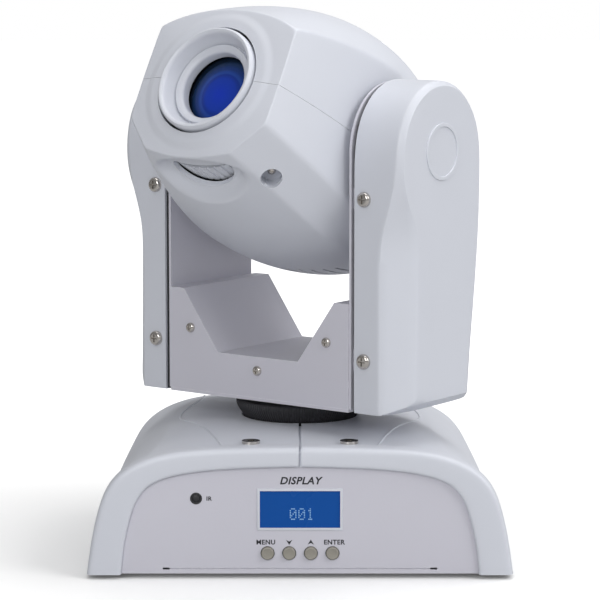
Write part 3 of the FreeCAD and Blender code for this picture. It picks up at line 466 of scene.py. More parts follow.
def addPiece(name, bm, place, body, slot, nodes=(), finish=None, angle=32):
    piece = meshObject(name, bm)
    mesh = piece.data
    mesh.transform(place)
    mesh.shade_smooth()
    mesh.set_sharp_from_angle(angle=math.radians(angle))
    mesh.materials.append(finish or finishes[slot])
    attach(piece, body)
    if nodes:
        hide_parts(*nodes)


def dropObject(thing):
    mesh = thing.data
    bpy.data.objects.remove(thing)
    bpy.data.meshes.remove(mesh)


def modified(bm, *steps):
    # the mesh after its modifiers, as a mesh of its own
    thing = meshObject("temp", bm)
    for kind, settings in steps:
        modifier = thing.modifiers.new(kind, kind)
        for key, value in settings.items():
            setattr(modifier, key, value)
    result = bmesh.new()
    result.from_object(thing, bpy.context.evaluated_depsgraph_get())
    dropObject(thing)
    return result


def smoothCage(bm, levels):
    return modified(bm, ("SUBSURF", {"levels": levels, "render_levels": levels}))


def hollow(bm, wall):
    # gives an open skin its wall, on the inside
    return modified(bm, ("SOLIDIFY", {"thickness": wall, "offset": -1}))


def carve(bm, cutters):
    tools = [meshObject("tool", cutter) for cutter in cutters]
    cuts = [("BOOLEAN", {"operation": "DIFFERENCE", "solver": "EXACT", "object": tool}) for tool in tools]
    result = modified(bm, *cuts)
    for tool in tools:
        dropObject(tool)
    return result


def rod(radius, start, end, segments=64):
    bm = bmesh.new()
    axis = Vector(end) - Vector(start)
    turned = axis.to_track_quat("Z", "Y").to_matrix().to_4x4()
    middle = Matrix.Translation((Vector(start) + Vector(end)) / 2)
    bmesh.ops.create_cone(bm, cap_ends=True, segments=segments, radius1=radius, radius2=radius,
                          depth=axis.length, matrix=middle @ turned)
    return bm


def chainOf(bm, points, closed=False):
    # the points joined in a row of edges
    verts = [bm.verts.new(point) for point in points]
    pairs = [(verts[i - 1], verts[i]) for i in range(0 if closed else 1, len(verts))]
    return [bm.edges.new(pair) for pair in pairs]


def bridgeAll(bm, loops):
    for near, far in zip(loops, loops[1:]):
        bmesh.ops.bridge_loops(bm, edges=near + far)


def pushOut(bm, faces, step):
    # turns a flat shape into a solid
    grown = bmesh.ops.extrude_face_region(bm, geom=faces)["geom"]
    bmesh.ops.translate(bm, vec=step, verts=[v for v in grown if isinstance(v, bmesh.types.BMVert)])
    outward(bm)


def outward(bm):
    bmesh.ops.recalc_face_normals(bm, faces=bm.faces[:])


def facingUp(bm):
    # an open skin's normals, turned so that most of it faces up
    outward(bm)
    if sum(f.normal.z * f.calc_area() for f in bm.faces) < 0:
        bmesh.ops.reverse_faces(bm, faces=bm.faces[:])


def pathMesh(data):
    # a curve's or a text's mesh
    thing = bpy.data.objects.new("path", data)
    bpy.context.collection.objects.link(thing)
    bpy.context.view_layer.update()
    mesh = bpy.data.meshes.new_from_object(thing)
    bpy.data.objects.remove(thing)
    return mesh


def block(low, high, soften=0):
    bm = bmesh.new()
    size = Vector(high) - Vector(low)
    centre = (Vector(high) + Vector(low)) / 2
    bmesh.ops.create_cube(bm, size=1, matrix=Matrix.Translation(centre) @ Matrix.Diagonal((*size, 1)))
    if soften:
        bmesh.ops.bevel(bm, geom=bm.edges[:], offset=soften, affect="EDGES", segments=3, profile=0.5,
                        material=-1)
    return bm


def spunProfile(points, axis, centre, steps=128, across=(1, 0, 0)):
    # points are (radius, height along the axis)
    bm = bmesh.new()
    out, along = Vector(across), Vector(axis)
    edges = chainOf(bm, [Vector(centre) + out * r + along * h for r, h in points])
    bmesh.ops.spin(bm, geom=bm.verts[:] + edges, cent=centre, axis=along, dvec=(0, 0, 0),
                   angle=math.tau, steps=steps, use_merge=True)
    bmesh.ops.remove_doubles(bm, verts=bm.verts[:], dist=0.0005)
    outward(bm)
    return bm


panHead = {
    # shares of the radius and of the height
    "profile": [(0.005, 1), (0.35, 0.97), (0.7, 0.8), (0.93, 0.5), (1, 0.2), (1, 0), (0.005, 0)],
    "crossArm": 0.58,
    "crossHalf": 0.13,
    "crossFloor": 0.45,
}


def screwHead(radius, height):
    # pan head with a cross recess, standing on z = 0 and pointing up
    bm = spunProfile([(r * radius, h * height) for r, h in panHead["profile"]], (0, 0, 1), (0, 0, 0), 40)
    arm, half = panHead["crossArm"] * radius, panHead["crossHalf"] * radius
    low, high = panHead["crossFloor"] * height, 2 * height
    return carve(bm, [block((-x, -y, low), (x, y, high)) for x, y in ((arm, half), (half, arm))])


def mirrorAcross(bm):
    # the same piece on the other side of the X = 0 plane
    bmesh.ops.scale(bm, vec=(-1, 1, 1), verts=bm.verts[:])
    bmesh.ops.reverse_faces(bm, faces=bm.faces[:])
    return bm


def middleOf(edge):
    return (edge.verts[0].co + edge.verts[1].co) / 2


def softStep(value, low, high):
    t = min(max((value - low) / (high - low), 0), 1)
    return t * t * (3 - 2 * t)


def between(table, key):
    # straight-line reading of a short table of (key, value), in rising keys
    for (k0, v0), (k1, v1) in zip(table, table[1:]):
        if key <= k1:
            return v0 + (v1 - v0) * max(key - k0, 0) / (k1 - k0)
    return table[-1][1]


# Head: a faceted barrel in two halves, with ridges that fade towards the back.

headShell = {
    # (place along the light, top, upper corner, lower corner, heel, bottom), in the head's own frame
    "stations": [
        (77, 33.0, (40.0, 23.5), (40.0, -25.0), (25.0, -40.5), -44.0),
        (68, 39.2, (42.6, 26.6), (42.7, -26.9), (28.2, -42.4), -47.8),
        (58, 45.15, (45.2, 29.2), (45.2, -28.7), (31.0, -44.2), -51.6),
        (46, 51.15, (47.8, 31.6), (47.8, -30.8), (33.8, -46.4), -55.4),
        (33, 56.8, (49.6, 33.7), (49.8, -32.6), (36.3, -48.4), -58.2),
        (18, 61.6, (50.9, 35.7), (51.2, -34.6), (38.3, -50.2), -60.3),
        (2, 64.4, (51.5, 37.3), (51.6, -36.2), (39.2, -51.2), -61.0),
        (-14, 65.4, (51.2, 37.6), (51.2, -36.3), (39.0, -50.6), -59.6),
        (-30, 63.6, (49.0, 36.2), (49.2, -34.6), (37.0, -48.0), -56.4),
        (-46, 58.0, (44.6, 33.0), (44.8, -31.0), (33.2, -43.4), -50.8),
        (-60, 49.4, (38.0, 28.0), (38.2, -25.6), (27.8, -36.4), -43.0),
        (-71, 39.4, (29.8, 21.6), (30.0, -19.2), (21.6, -28.0), -33.4),
        (-77, 30.0, (22.0, 15.6), (22.0, -13.6), (15.6, -20.4), -24.6),
    ],
    "frontRings": ((0.93, 0.5), (0.72, 1.5), (0.45, 2.1), (0.2, 2.4)),  # share of the rim, bulge
    "backRings": ((0.72, 3), (0.4, 3.6)),
    "rimCrease": (0.42, 0.62),  # over the lens and under it
    "ridgeStart": 0.78,
    "upperRidgeEnd": -25,
    "lowerRidgeEnd": -40,
    "ridgeFade": 60,
    "lensDrop": -5,
    "collar": (31.0, 36.0, 0.8),  # plateau radius, foot radius, height
    "collarFrom": 76,
    "bore": 27.3,
    "boreSpan": (-64, -95),
    "scoop": {"centre": 62, "half": (28, 14.5), "depth": 5.8, "rim": (0.68, 0.98), "span": (44, 76.9),
              "top": -36},
    "slotHalf": 17.5,
    "slotSpan": (52.5, 65.5),
    "slotCorner": ((0, 2.2), (1.2, 0.6), (3, 0)),  # in from the end, back from the front
    "slotSwell": 0.8,
    "slotDepth": (-75, -30),
    "vents": {"places": range(-24, 25, 6), "half": 0.8, "span": (20, 60), "lean": 0.25, "depth": (-75, -25)},
    "louvres": {"places": (44, 48.5, 53, 57.5, 62), "half": (17, 0.7), "depth": (30, 80)},
    "wellPlace": (34.6, -54.2, -42.0),
    "wellAxis": (0.52, -0.45, -0.62),
    "wellRadius": 5.1,
    "wellDepth": 9.0,
    "wellMouth": 20,
    "screw": (2.0, 1.3),  # radius and height of its head
    "wall": 2.2,
    "parting": -5,
    "partingGap": 0.16,
}


def headHalfSection(top, upper, lower, heel, bottom):
    side = [upper[i] + (lower[i] - upper[i]) / 3 for i in (0, 1)]
    flank = [upper[i] + 2 * (lower[i] - upper[i]) / 3 for i in (0, 1)]
    return [
        (0, top),
        (0.36 * upper[0], top - 0.10 * (top - upper[1])),
        (0.72 * upper[0], top - 0.44 * (top - upper[1])),
        upper,
        (side[0] + 0.5, side[1]),
        (flank[0] + 0.5, flank[1]),
        lower,
        heel,
        (0.52 * heel[0], bottom + 0.24 * (heel[1] - bottom)),
        (0, bottom),
    ]


def loopOf(bm, points, depth):
    return chainOf(bm, [(a, -depth, b) for a, b in points], closed=True)


def headCage():
    bm = bmesh.new()
    crease = bm.edges.layers.float.new("crease_edge")
    drop = headShell["lensDrop"]
    stations = headShell["stations"]
    loops = []
    for station in stations:
        half = headHalfSection(*station[1:])
        loops.append(loopOf(bm, half + [(-a, b) for a, b in half[-2:0:-1]], station[0]))
    rim = set(loops[0])
    first, last = ([v.co.copy() for v in headFaceVerts(loops[end])] for end in (0, -1))
    for share, lift in headShell["frontRings"]:
        points = [(share * p.x, drop + share * (p.z - drop)) for p in first]
        loops.insert(0, loopOf(bm, points, stations[0][0] + lift))
    for share, lift in headShell["backRings"]:
        loops.append(loopOf(bm, [(share * p.x, share * p.z) for p in last], stations[-1][0] - lift))
    bridgeAll(bm, loops)
    bmesh.ops.contextual_create(bm, geom=loops[0])
    bmesh.ops.contextual_create(bm, geom=loops[-1])
    outward(bm)
    for edge in bm.edges:
        a, b = (v.co for v in edge.verts)
        if edge in rim:
            edge[crease] = headShell["rimCrease"][0 if min(a.z, b.z) > 20 else 1]
        elif abs(a.y - b.y) > 5 and isCorner(a) and isCorner(b):
            end = headShell["upperRidgeEnd"] if a.z > 0 else headShell["lowerRidgeEnd"]
            middle = -(a.y + b.y) / 2
            edge[crease] = headShell["ridgeStart"] * softStep(middle, end, end + headShell["ridgeFade"])
    return bm


def headFaceVerts(loop):
    # the loop's vertices in order
    order = []
    for before, edge in zip([loop[-1]] + loop[:-1], loop):
        shared = set(before.verts) & set(edge.verts)
        order.append(shared.pop())
    return order


def isCorner(point):
    for station in headShell["stations"]:
        if abs(station[0] + point.y) < 0.01:
            return any(abs(abs(point.x) - x) + abs(point.z - z) < 0.01 for x, z in station[2:5])
    return False


def shapeFront(bm):
    # raises the collar round the lens and presses in the scoop round the focus slot
    inner, outer, height = headShell["collar"]
    scoop = headShell["scoop"]
    drop = headShell["lensDrop"]
    for vert in bm.verts:
        a, c, b = vert.co.x, -vert.co.y, vert.co.z
        radius = math.hypot(a, b - drop)
        if c > headShell["collarFrom"] and radius < outer:
            vert.co.y -= height * (1 - softStep(radius, inner, outer))
        if b < scoop["top"] and scoop["span"][0] < c < scoop["span"][1]:
            reach = math.hypot(a / scoop["half"][0], (c - scoop["centre"]) / scoop["half"][1])
            vert.co.z += scoop["depth"] * (1 - softStep(reach, *scoop["rim"]))
    return bm


def crescentCutter():
    # straight towards the lens, bowed towards the back, soft at its two ends
    bm = bmesh.new()
    half = headShell["slotHalf"]
    back, front = headShell["slotSpan"]
    corner = headShell["slotCorner"]
    low, high = headShell["slotDepth"]
    points = [(along - half, front - behind) for along, behind in corner]
    points += [(half - along, front - behind) for along, behind in corner[::-1]]
    foot = front - corner[0][1]
    points += [(half * math.cos(angle), foot - (foot - back) * math.sin(angle) ** headShell["slotSwell"])
               for angle in (math.pi * step / 24 for step in range(1, 24))]
    face = bm.faces.new([bm.verts.new((x, -c, low)) for x, c in points])
    pushOut(bm, [face], (0, 0, high - low))
    return bm


def headVents():
    vents = headShell["vents"]
    start, end = vents["span"]
    low, high = vents["depth"]
    return [block((a - vents["half"], start + vents["lean"] * abs(a), low),
                  (a + vents["half"], end - vents["lean"] * abs(a), high)) for a in vents["places"]]


def headLouvres():
    louvres = headShell["louvres"]
    across, along = louvres["half"]
    low, high = louvres["depth"]
    return [block((-across, c - along, low), (across, c + along, high)) for c in louvres["places"]]


def headBore():
    drop = headShell["lensDrop"]
    start, end = headShell["boreSpan"]
    return rod(headShell["bore"], (0, start, drop), (0, end, drop), 160)


def cutAt(bm, height, **side):
    bmesh.ops.bisect_plane(bm, geom=bm.verts[:] + bm.edges[:] + bm.faces[:], plane_co=(0, 0, height),
                           plane_no=(0, 0, 1), **side)


def makeHead():
    skin = shapeFront(smoothCage(headCage(), 4))
    place, axis = Vector(headShell["wellPlace"]), Vector(headShell["wellAxis"]).normalized()
    floor = place - axis * headShell["wellDepth"]
    well = rod(headShell["wellRadius"], floor, place + axis * headShell["wellMouth"], 40)
    skin = carve(skin, [well, mirrorAcross(well.copy())])
    gap = headShell["partingGap"] / 2
    top, bottom = skin, skin.copy()
    cutAt(top, headShell["parting"] + gap, clear_inner=True)
    cutAt(bottom, headShell["parting"] - gap, clear_outer=True)
    bottom = carve(hollow(bottom, headShell["wall"]), [headBore(), crescentCutter()] + headVents())
    top = carve(hollow(top, headShell["wall"]), [headBore()] + headLouvres())
    addPiece("headShellTop", top, headPlace, "head", "white_plastic", ["head_shell_top"])
    addPiece("headShellBottom", bottom, headPlace, "head", "white_plastic", ["head_shell_bottom"])
    turned = Matrix.Translation(floor) @ axis.to_track_quat("Z", "Y").to_matrix().to_4x4()
    for name in ("headScrewRight", "headScrewLeft"):
        screw = screwHead(*headShell["screw"])
        screw.transform(turned)
        if name == "headScrewLeft":
            screw = mirrorAcross(screw)
        addPiece(name, screw, headPlace, "head", "screw_nickel", ["head_screws"])


makeHead()
print("head shells made")

# Lens ring and lens.

optics = {
    "drop": -5,
    # (radius, distance along the light)
    "ring": [(24.0, 69), (26.2, 69.6), (26.2, 80.2), (25.9, 81.4), (25.1, 82), (24.2, 81.9), (23.5, 81.2),
             (23.0, 80.0), (21.1, 73.4), (20.8, 73.1), (20.5, 73.3), (20.4, 74.8), (20.1, 75.2), (19.6, 75.2),
             (17.6, 74.2), (17.1, 73.8), (16.8, 73.0), (16.7, 69.4), (24.0, 69)],
    "lens": [(0.01, 70.6), (4, 70.45), (8, 70.0), (12, 69.1), (15, 68.0), (17.5, 66.8), (20, 65.4),
             (20, 60.4), (0.01, 60.4)],
}


def makeOptics():
    centre = (0, 0, optics["drop"])
    ring = spunProfile(optics["ring"], (0, -1, 0), centre, 160)
    addPiece("lensRing", ring, headPlace, "head", "white_plastic", ["lens_bezel"], angle=40)
    lens = spunProfile(optics["lens"], (0, -1, 0), centre, 128)
    addPiece("lensDome", lens, headPlace, "lens_cell", "lens_glass", ["front_lens"], angle=40)


makeOptics()
print("optics made")

# Arm covers: a paddle with a round top, a flat screw strip in front and long chamfers.

armCover = {
    "inner": 57.3,
    "outer": 83.5,
    "half": 34,
    "bottom": 75.5,
    "axle": 197.7,
    "rim": 2.4,
    # by height: how far out the strip's edge is, and how far in the outer face starts, in front and behind
    "stripEdge": [(75.5, 71.6), (150, 71.5), (158, 72.2), (165, 74.2), (176, 77.8), (186, 80.2), (197.7, 81.1)],
    "frontInset": [(75.5, 12.6), (120, 13.8), (153, 14.2), (160, 13.4), (167.5, 11.0), (176, 5.6), (186, 2.6),
                   (197.7, 2.4)],
    "rearInset": [(75.5, 11.5), (97.5, 10.3), (131, 5.7), (165, 2.6), (197.7, 2.4)],
    "rearSlope": 0.82,
    "bottomInset": 5,
    "bottomDepth": 8,
    "frontHeights": [84, 97, 112, 128, 142, 152, 160, 168, 177, 187],
    "rearHeights": [186, 172, 158, 142, 124, 106, 88],
    "bottomPlaces": [18, 0, -18],
    "hem": 3,
    "faceCentre": 160,
    "faceShrink": (0.86, 0.93),
    "stripCrease": (0.62, 0.4, 183.7),  # below and above that height
    "faceCrease": (0.34, 0.55),  # along the long front chamfer, and elsewhere
    "chamferEnd": (-10, 146),
    "cornerCrease": 0.6,
    "cornerReach": (19, 81),
    "wall": 2.5,
    # plain raised ring: (radius, height)
    "mark": [(11.6, -0.3), (11.75, 0.5), (11.9, 0.6), (13.3, 0.6), (13.45, 0.5), (13.6, -0.3)],
    "paintedShadeStrip": (1.5, 3.5),  # black strip between cover and plate, painted shade standing in for the dark of the deep gap: its two insets from the outline
    "paintedShadeStripSpan": (56.15, 57.9),
    "paintedShadeStripFoot": 20,
}


def coverOutline():
    # each row: place on the side outline, how far out the strip's edge is, place of the face's edge
    half, axle, outer = armCover["half"], armCover["axle"], armCover["outer"]
    bottom, rim, lift = armCover["bottom"], armCover["rim"], armCover["bottomInset"]

    def front(z, rise=0):
        inset = between(armCover["frontInset"], z)
        return (-half, z), between(armCover["stripEdge"], z), (-half + inset, z + rise)

    def rear(z, rise=0):
        inset = between(armCover["rearInset"], z)
        return (half, z), outer - armCover["rearSlope"] * inset, (half - inset, z + rise)

    rows = [front(bottom, lift)] + [front(z) for z in armCover["frontHeights"]]
    for step in range(9):
        angle = math.pi * (1 - step / 8)
        side, face = ((r * math.cos(angle), axle + r * math.sin(angle)) for r in (half, half - rim))
        rows.append((side, outer - rim, face))
    rows += [rear(z) for z in armCover["rearHeights"]] + [rear(bottom, lift)]
    edge = outer - armCover["bottomDepth"]
    return rows + [((y, bottom), edge, (y, bottom + lift)) for y in armCover["bottomPlaces"]]


def coverCage():
    bm = bmesh.new()
    crease = bm.edges.layers.float.new("crease_edge")
    rows = coverOutline()
    inner, outer, hem = armCover["inner"], armCover["outer"], armCover["hem"]
    centre, (shareY, shareZ) = armCover["faceCentre"], armCover["faceShrink"]
    rings = [
        [(inner, y, z) for (y, z), x, face in rows],
        [(inner + hem, y, z) for (y, z), x, face in rows],
        [(x - hem, y, z) for (y, z), x, face in rows],
        [(x, y, z) for (y, z), x, face in rows],
        [(outer, y, z) for side, x, (y, z) in rows],
        [(outer, shareY * y, centre + shareZ * (z - centre)) for side, x, (y, z) in rows],
    ]
    loops = [chainOf(bm, ring, closed=True) for ring in rings]
    bridgeAll(bm, loops)
    bmesh.ops.contextual_create(bm, geom=loops[-1])
    outward(bm)
    below, above, level = armCover["stripCrease"]
    for edge in loops[3]:
        edge[crease] = below if middleOf(edge).z < level else above
    soft, plain = armCover["faceCrease"]
    endY, endZ = armCover["chamferEnd"]
    for edge in loops[4]:
        middle = middleOf(edge)
        edge[crease] = soft if middle.y < endY and middle.z < endZ else plain
    cornerY, cornerZ = armCover["cornerReach"]
    for edge in bm.edges:
        a, b = (v.co for v in edge.verts)
        straight = abs(a.x - b.x) > 0.5 and abs(a.z - b.z) < 6 and abs(a.y - b.y) < 14
        if straight and max(a.z, b.z) < cornerZ and min(abs(a.y), abs(b.y)) > cornerY:
            edge[crease] = armCover["cornerCrease"]
    for edge in loops[0]:
        edge[crease] = 1.0
    return bm


def coverPaintedShadeStrip():
    # a black strip laid in the gap between cover and plate as painted shade
    bm = bmesh.new()
    near, far = armCover["paintedShadeStripSpan"]
    low, high = armCover["bottom"] + armCover["paintedShadeStripFoot"], armCover["axle"]
    loops = []
    for inset in armCover["paintedShadeStrip"]:
        points = []
        for (y, z), x, face in coverOutline():
            middle = Vector((0, min(max(z, low), high)))
            arm = Vector((y, z)) - middle
            place = middle + arm * (1 - inset / arm.length)
            points.append((far, place.x, place.y))
        loops.append(chainOf(bm, points, closed=True))
    strip = bmesh.ops.bridge_loops(bm, edges=loops[0] + loops[1])["faces"]
    pushOut(bm, strip, (near - far, 0, 0))
    return bm


def coverMark():
    centre = (armCover["outer"], 0, armCover["axle"])
    return spunProfile(armCover["mark"], (1, 0, 0), centre, 96, across=(0, 1, 0))


def makeArmCovers():
    for side in ("Right", "Left"):
        skin = smoothCage(coverCage(), 2)
        outward(skin)
        parts = [hollow(skin, armCover["wall"]), coverMark(), coverPaintedShadeStrip()]
        if side == "Left":
            parts = [mirrorAcross(part) for part in parts]
        shell, mark, paintedShadeStrip = parts
        name = "armCover" + side
        addPiece(name, shell, yokePlace, "yoke", "white_plastic", ["arm_cover_" + side.lower()])
        addPiece(name + "Mark", mark, yokePlace, "yoke", "white_plastic")
        # the black strip in the gap is painted shade
        addPiece(name + "PaintedShadeStrip", paintedShadeStrip, yokePlace, "yoke", "black_plastic")


makeArmCovers()
print("arm covers made")

# Base shells: an arch with a rounded front band, waisted sides and a crowned top.

baseShell = {
    # half outlines from the leg's foot to the middle
    "frontOuter": [(99.8, 2.2), (97.4, 20), (93.6, 35.6), (89.3, 45), (81.6, 52.4), (71.6, 57.3), (60, 60.2),
                   (47.9, 61.6), (24, 62.5), (0.65, 62.7)],
    "middleOuter": [(97.6, 2.2), (94.6, 20), (89.4, 36), (83.0, 45.4), (74.0, 53.2), (63.6, 59.2), (55, 62.4),
                    (45, 64.0), (24, 65.2), (0.65, 65.4)],
    "rearOuter": [(92.8, 2.2), (90.4, 20), (86.6, 35.6), (82.3, 45), (74.6, 52.4), (64.6, 57.3), (54, 60.2),
                  (43, 61.6), (22, 62.5), (0.65, 62.7)],
    "frontWindow": [(83.6, 2.2), (82.5, 15), (80.0, 26.1), (77.6, 34.8), (73.6, 41.6), (69.0, 45.4), (62, 48.4),
                    (47.9, 51.2), (24, 52.8), (0.65, 53.2)],
    "middleX": 0.65,  # the seam's half width
    "rearShift": (7, 60),  # how far the rear opening narrows, and where that starts to fade
    "depthHalf": 80,
    "panelFace": 77.9,
    "bandDepth": 10,
    "edgeStep": 0.9,
    "shoulder": {"height": 58.3, "reach": 1.3, "span": (60, 73), "crease": 0.55},
    "wall": 2.2,
    "discHole": 28.6,
    "cutSpan": (50, 80),
    "screwX": 23.0,
    "screwY": 66.5,
    "screwRecess": 5.0,
    "screwFloor": 62.3,
    "bead": [(36.4, -69.4), (38.0, -60), (41.0, -48), (45.5, -31), (52.0, -15.5), (57.6, -1), (59.8, 12),
             (58.6, 28), (54.0, 46), (50.5, 62), (49.5, 76)],
    "beadRadius": 0.6,
    "beadSink": 0.05,
    "beadAbove": 90,
    "lipDrop": 1.5,
    "lipHalf": 2.5,
    "lipWall": 0.6,
    # from front to back under the seam: (place, height)
    "lipPath": [(-78.4, 54.5), (-78.4, 61.3), (-76.6, 62.7), (-69, 62.7), (-56, 63.5), (-36, 64.7), (-8, 65.4),
                (24, 64.9), (54, 63.7), (76, 62.7), (78.4, 61.3), (78.4, 54.5)],
}


def mixed(first, second, share):
    return [tuple(p + (q - p) * share for p, q in zip(a, b)) for a, b in zip(first, second)]


def shrunk(points, amount):
    # the outline moved inwards, square to its own run
    result = []
    for i, (x, z) in enumerate(points):
        x0, z0 = points[max(i - 1, 0)]
        x1, z1 = points[min(i + 1, len(points) - 1)]
        along = Vector((x1 - x0, z1 - z0)).normalized()
        keepX = i == len(points) - 1
        keepZ = i == 0
        result.append((x if keepX else x + along.y * -amount, z if keepZ else z + along.x * amount))
    return result


def baseCage():
    bm = bmesh.new()
    crease = bm.edges.layers.float.new("crease_edge")
    half, face, step = baseShell["depthHalf"], baseShell["panelFace"], baseShell["edgeStep"]
    front, middle, rear = baseShell["frontOuter"], baseShell["middleOuter"], baseShell["rearOuter"]
    window = baseShell["frontWindow"]
    shift, fade = baseShell["rearShift"]
    rearWindow = [(max(x - shift * min(x / fade, 1), baseShell["middleX"]), z) for x, z in window]
    band = baseShell["bandDepth"] - half
    # from front to back: place, outline, crease
    rows = [
        (-face, window, 1.0),
        (-half + step, window, 0.3),
        (-half, shrunk(window, -step), 0.3),
        (-half, shrunk(front, 2.6), 0.2),
        (-half + 0.7, shrunk(front, 0.8), 0),
        (-half + 2.6, front, 0),
        (band, front, 0.5),
        (band + step, shrunk(front, step), 0.4),
        (-56, shrunk(mixed(front, middle, 0.3), 0.5), 0),
        (-36, mixed(front, middle, 0.72), 0),
        (-8, middle, 0),
        (24, mixed(middle, rear, 0.18), 0),
        (54, mixed(middle, rear, 0.62), 0),
        (half - 4, rear, 0),
        (half - 0.7, shrunk(rear, 0.8), 0),
        (half, shrunk(rear, 2.6), 0.2),
        (half, shrunk(rearWindow, -step), 0.3),
        (half - step, rearWindow, 0.3),
        (face, rearWindow, 1.0),
    ]
    chains = [chainOf(bm, [(x, y, z) for x, z in outline]) for y, outline, sharp in rows]
    for chain, (y, outline, sharp) in zip(chains, rows):
        for edge in chain:
            edge[crease] = sharp
    bridgeAll(bm, chains)
    shoulder = baseShell["shoulder"]
    low, high = shoulder["span"]
    for edge in bm.edges:
        a, b = (v.co for v in edge.verts)
        if abs(a.y - b.y) > 8 and len(edge.link_faces) == 2:
            if any(abs(p.z - shoulder["height"]) < shoulder["reach"] and low < p.x < high for p in (a, b)):
                edge[crease] = shoulder["crease"]
    outward(bm)
    return bm


def discCutter(segments):
    low, high = baseShell["cutSpan"]
    return rod(baseShell["discHole"], (0, 0, low), (0, 0, high), segments)


def makeBaseShells():
    x, y, high = baseShell["screwX"], baseShell["screwY"], baseShell["cutSpan"][1]
    for side in ("Right", "Left"):
        skin = smoothCage(baseCage(), 3)
        facingUp(skin)
        cutters = [discCutter(128)]
        for end in (-y, y):
            cutters.append(rod(baseShell["screwRecess"], (x, end, baseShell["screwFloor"]), (x, end, high), 48))
        shell = carve(hollow(skin, baseShell["wall"]), cutters)
        if side == "Left":
            shell = mirrorAcross(shell)
        name = "baseShell" + side
        bead = raisedBead(shell, 1 if side == "Right" else -1)
        addPiece(name, shell, basePlace, "base", "white_plastic", ["base_shell_" + side.lower()])
        addPiece(name + "Bead", bead, basePlace, "base", "white_plastic")
    makeSeamLip()


def raisedBead(shell, side):
    # a thin raised line that winds over the top of the shell, laid on its surface
    data = bpy.data.curves.new("bead", "CURVE")
    data.dimensions = "3D"
    spline = data.splines.new("NURBS")
    spline.points.add(len(baseShell["bead"]) - 1)
    for point, (x, y) in zip(spline.points, baseShell["bead"]):
        point.co = (x * side, y, 0, 1)
    spline.order_u = 3
    spline.use_endpoint_u = True
    spline.resolution_u = 8
    surface = BVHTree.FromBMesh(shell)
    laid = []
    for vert in pathMesh(data).vertices:
        above = Vector((vert.co.x, vert.co.y, baseShell["beadAbove"]))
        hit = surface.ray_cast(above, Vector((0, 0, -1)))[0]
        if hit:
            laid.append(hit - Vector((0, 0, baseShell["beadSink"])))
    data.splines.clear()
    spline = data.splines.new("POLY")
    spline.points.add(len(laid) - 1)
    for point, place in zip(spline.points, laid):
        point.co = (*place, 1)
    data.bevel_depth = baseShell["beadRadius"]
    data.bevel_resolution = 2
    data.use_fill_caps = True
    bm = bmesh.new()
    bm.from_mesh(pathMesh(data))
    bmesh.ops.remove_doubles(bm, verts=bm.verts[:], dist=0.001)
    outward(bm)
    return bm


def makeSeamLip():
    # tongue under the seam, so the seam is a groove and not an open slit
    bm = bmesh.new()
    drop, half = baseShell["lipDrop"], baseShell["lipHalf"]
    rails = [chainOf(bm, [(x, y, z - drop) for y, z in baseShell["lipPath"]]) for x in (-half, half)]
    bridgeAll(bm, rails)
    facingUp(bm)
    lip = carve(hollow(bm, baseShell["lipWall"]), [discCutter(64)])
    addPiece("baseSeamLip", lip, basePlace, "base", "white_plastic")


makeBaseShells()
print("base shells made")

# Dark ribbed collar between base and yoke.

panCollar = {
    "ribs": 150,
    "groove": 0.35,
    # (radius, height) from the hub outwards, over the rim and down into the base
    "profile": [(12.6, 73), (30.7, 73), (31.3, 72.4), (31.3, 70.8), (30.9, 69.6), (29.9, 67.8), (28.4, 65.8),
                (27.6, 63.6), (27.5, 60)],
    "ribbed": (63.0, 72.6),
    "ribbedFrom": 27,
    "wall": 1.2,
}


def makePanCollar():
    bm = spunProfile(panCollar["profile"], (0, 0, 1), (0, 0, 0), panCollar["ribs"] * 2)
    low, high = panCollar["ribbed"]
    for vert in bm.verts:
        reach = math.hypot(vert.co.x, vert.co.y)
        tooth = math.atan2(vert.co.y, vert.co.x) / math.tau * panCollar["ribs"]
        valley = abs(tooth - round(tooth)) > 0.25
        if low < vert.co.z < high and reach > panCollar["ribbedFrom"] and valley:
            vert.co.x *= 1 - panCollar["groove"] / reach
            vert.co.y *= 1 - panCollar["groove"] / reach
    if sum(f.normal.z for f in bm.faces if f.calc_center_median().z > 72.9) < 0:
        bmesh.ops.reverse_faces(bm, faces=bm.faces[:])
    shell = hollow(bm, panCollar["wall"])
    addPiece("panCollar", shell, basePlace, "base", "black_plastic", ["pan_disc"], angle=20)


makePanCollar()

# Dished button caps, the domed infrared window, and the display's frame.

buttonCap = {
    "names": ("menu", "down", "up", "enter"),
    # (radius, depth behind the front of the cap)
    "profile": [(0.01, 0.32), (1.2, 0.28), (2.0, 0.14), (2.35, 0.02), (2.6, 0.03), (2.85, 0.22), (2.96, 0.5),
                (2.96, 3.4), (1.7, 3.4), (1.7, 7.5), (0.01, 7.5)],
}

irWindow = {
    "face": 77.8,
    # (radius, height above the panel): a dome in a raised rim
    "profile": [(0.01, 0.26), (0.9, 0.2), (1.5, 0.02), (1.85, -0.25), (2.0, -0.28), (2.1, 0.2), (2.3, 0.29),
                (2.65, 0.26), (2.8, 0.1), (2.85, -0.3), (2.85, -5.4), (0.01, -5.4)],
}


def nodePlace(node):
    # lowest corner and middle of a CAD node's box, in millimetres
    low, high = (Vector(corner) * 1000 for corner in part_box(node))
    return low, (low + high) / 2


def makeButtons():
    for name in buttonCap["names"]:
        node = name + "_button"
        low, middle = nodePlace(node)
        points = [(r, -low.y - depth) for r, depth in buttonCap["profile"]]
        cap = spunProfile(points, (0, -1, 0), (middle.x, 0, middle.z), 48)
        addPiece(name + "Cap", cap, basePlace, node, "button_grey", [node], angle=45)


displayFrame = {
    "glass": ((-19, 24), (19, 42)),  # opening's lower left and upper right
    "width": 0.9,
    "lap": 0.25,
    "back": -77.65,
    "front": -78.15,
    "soften": 0.14,
}


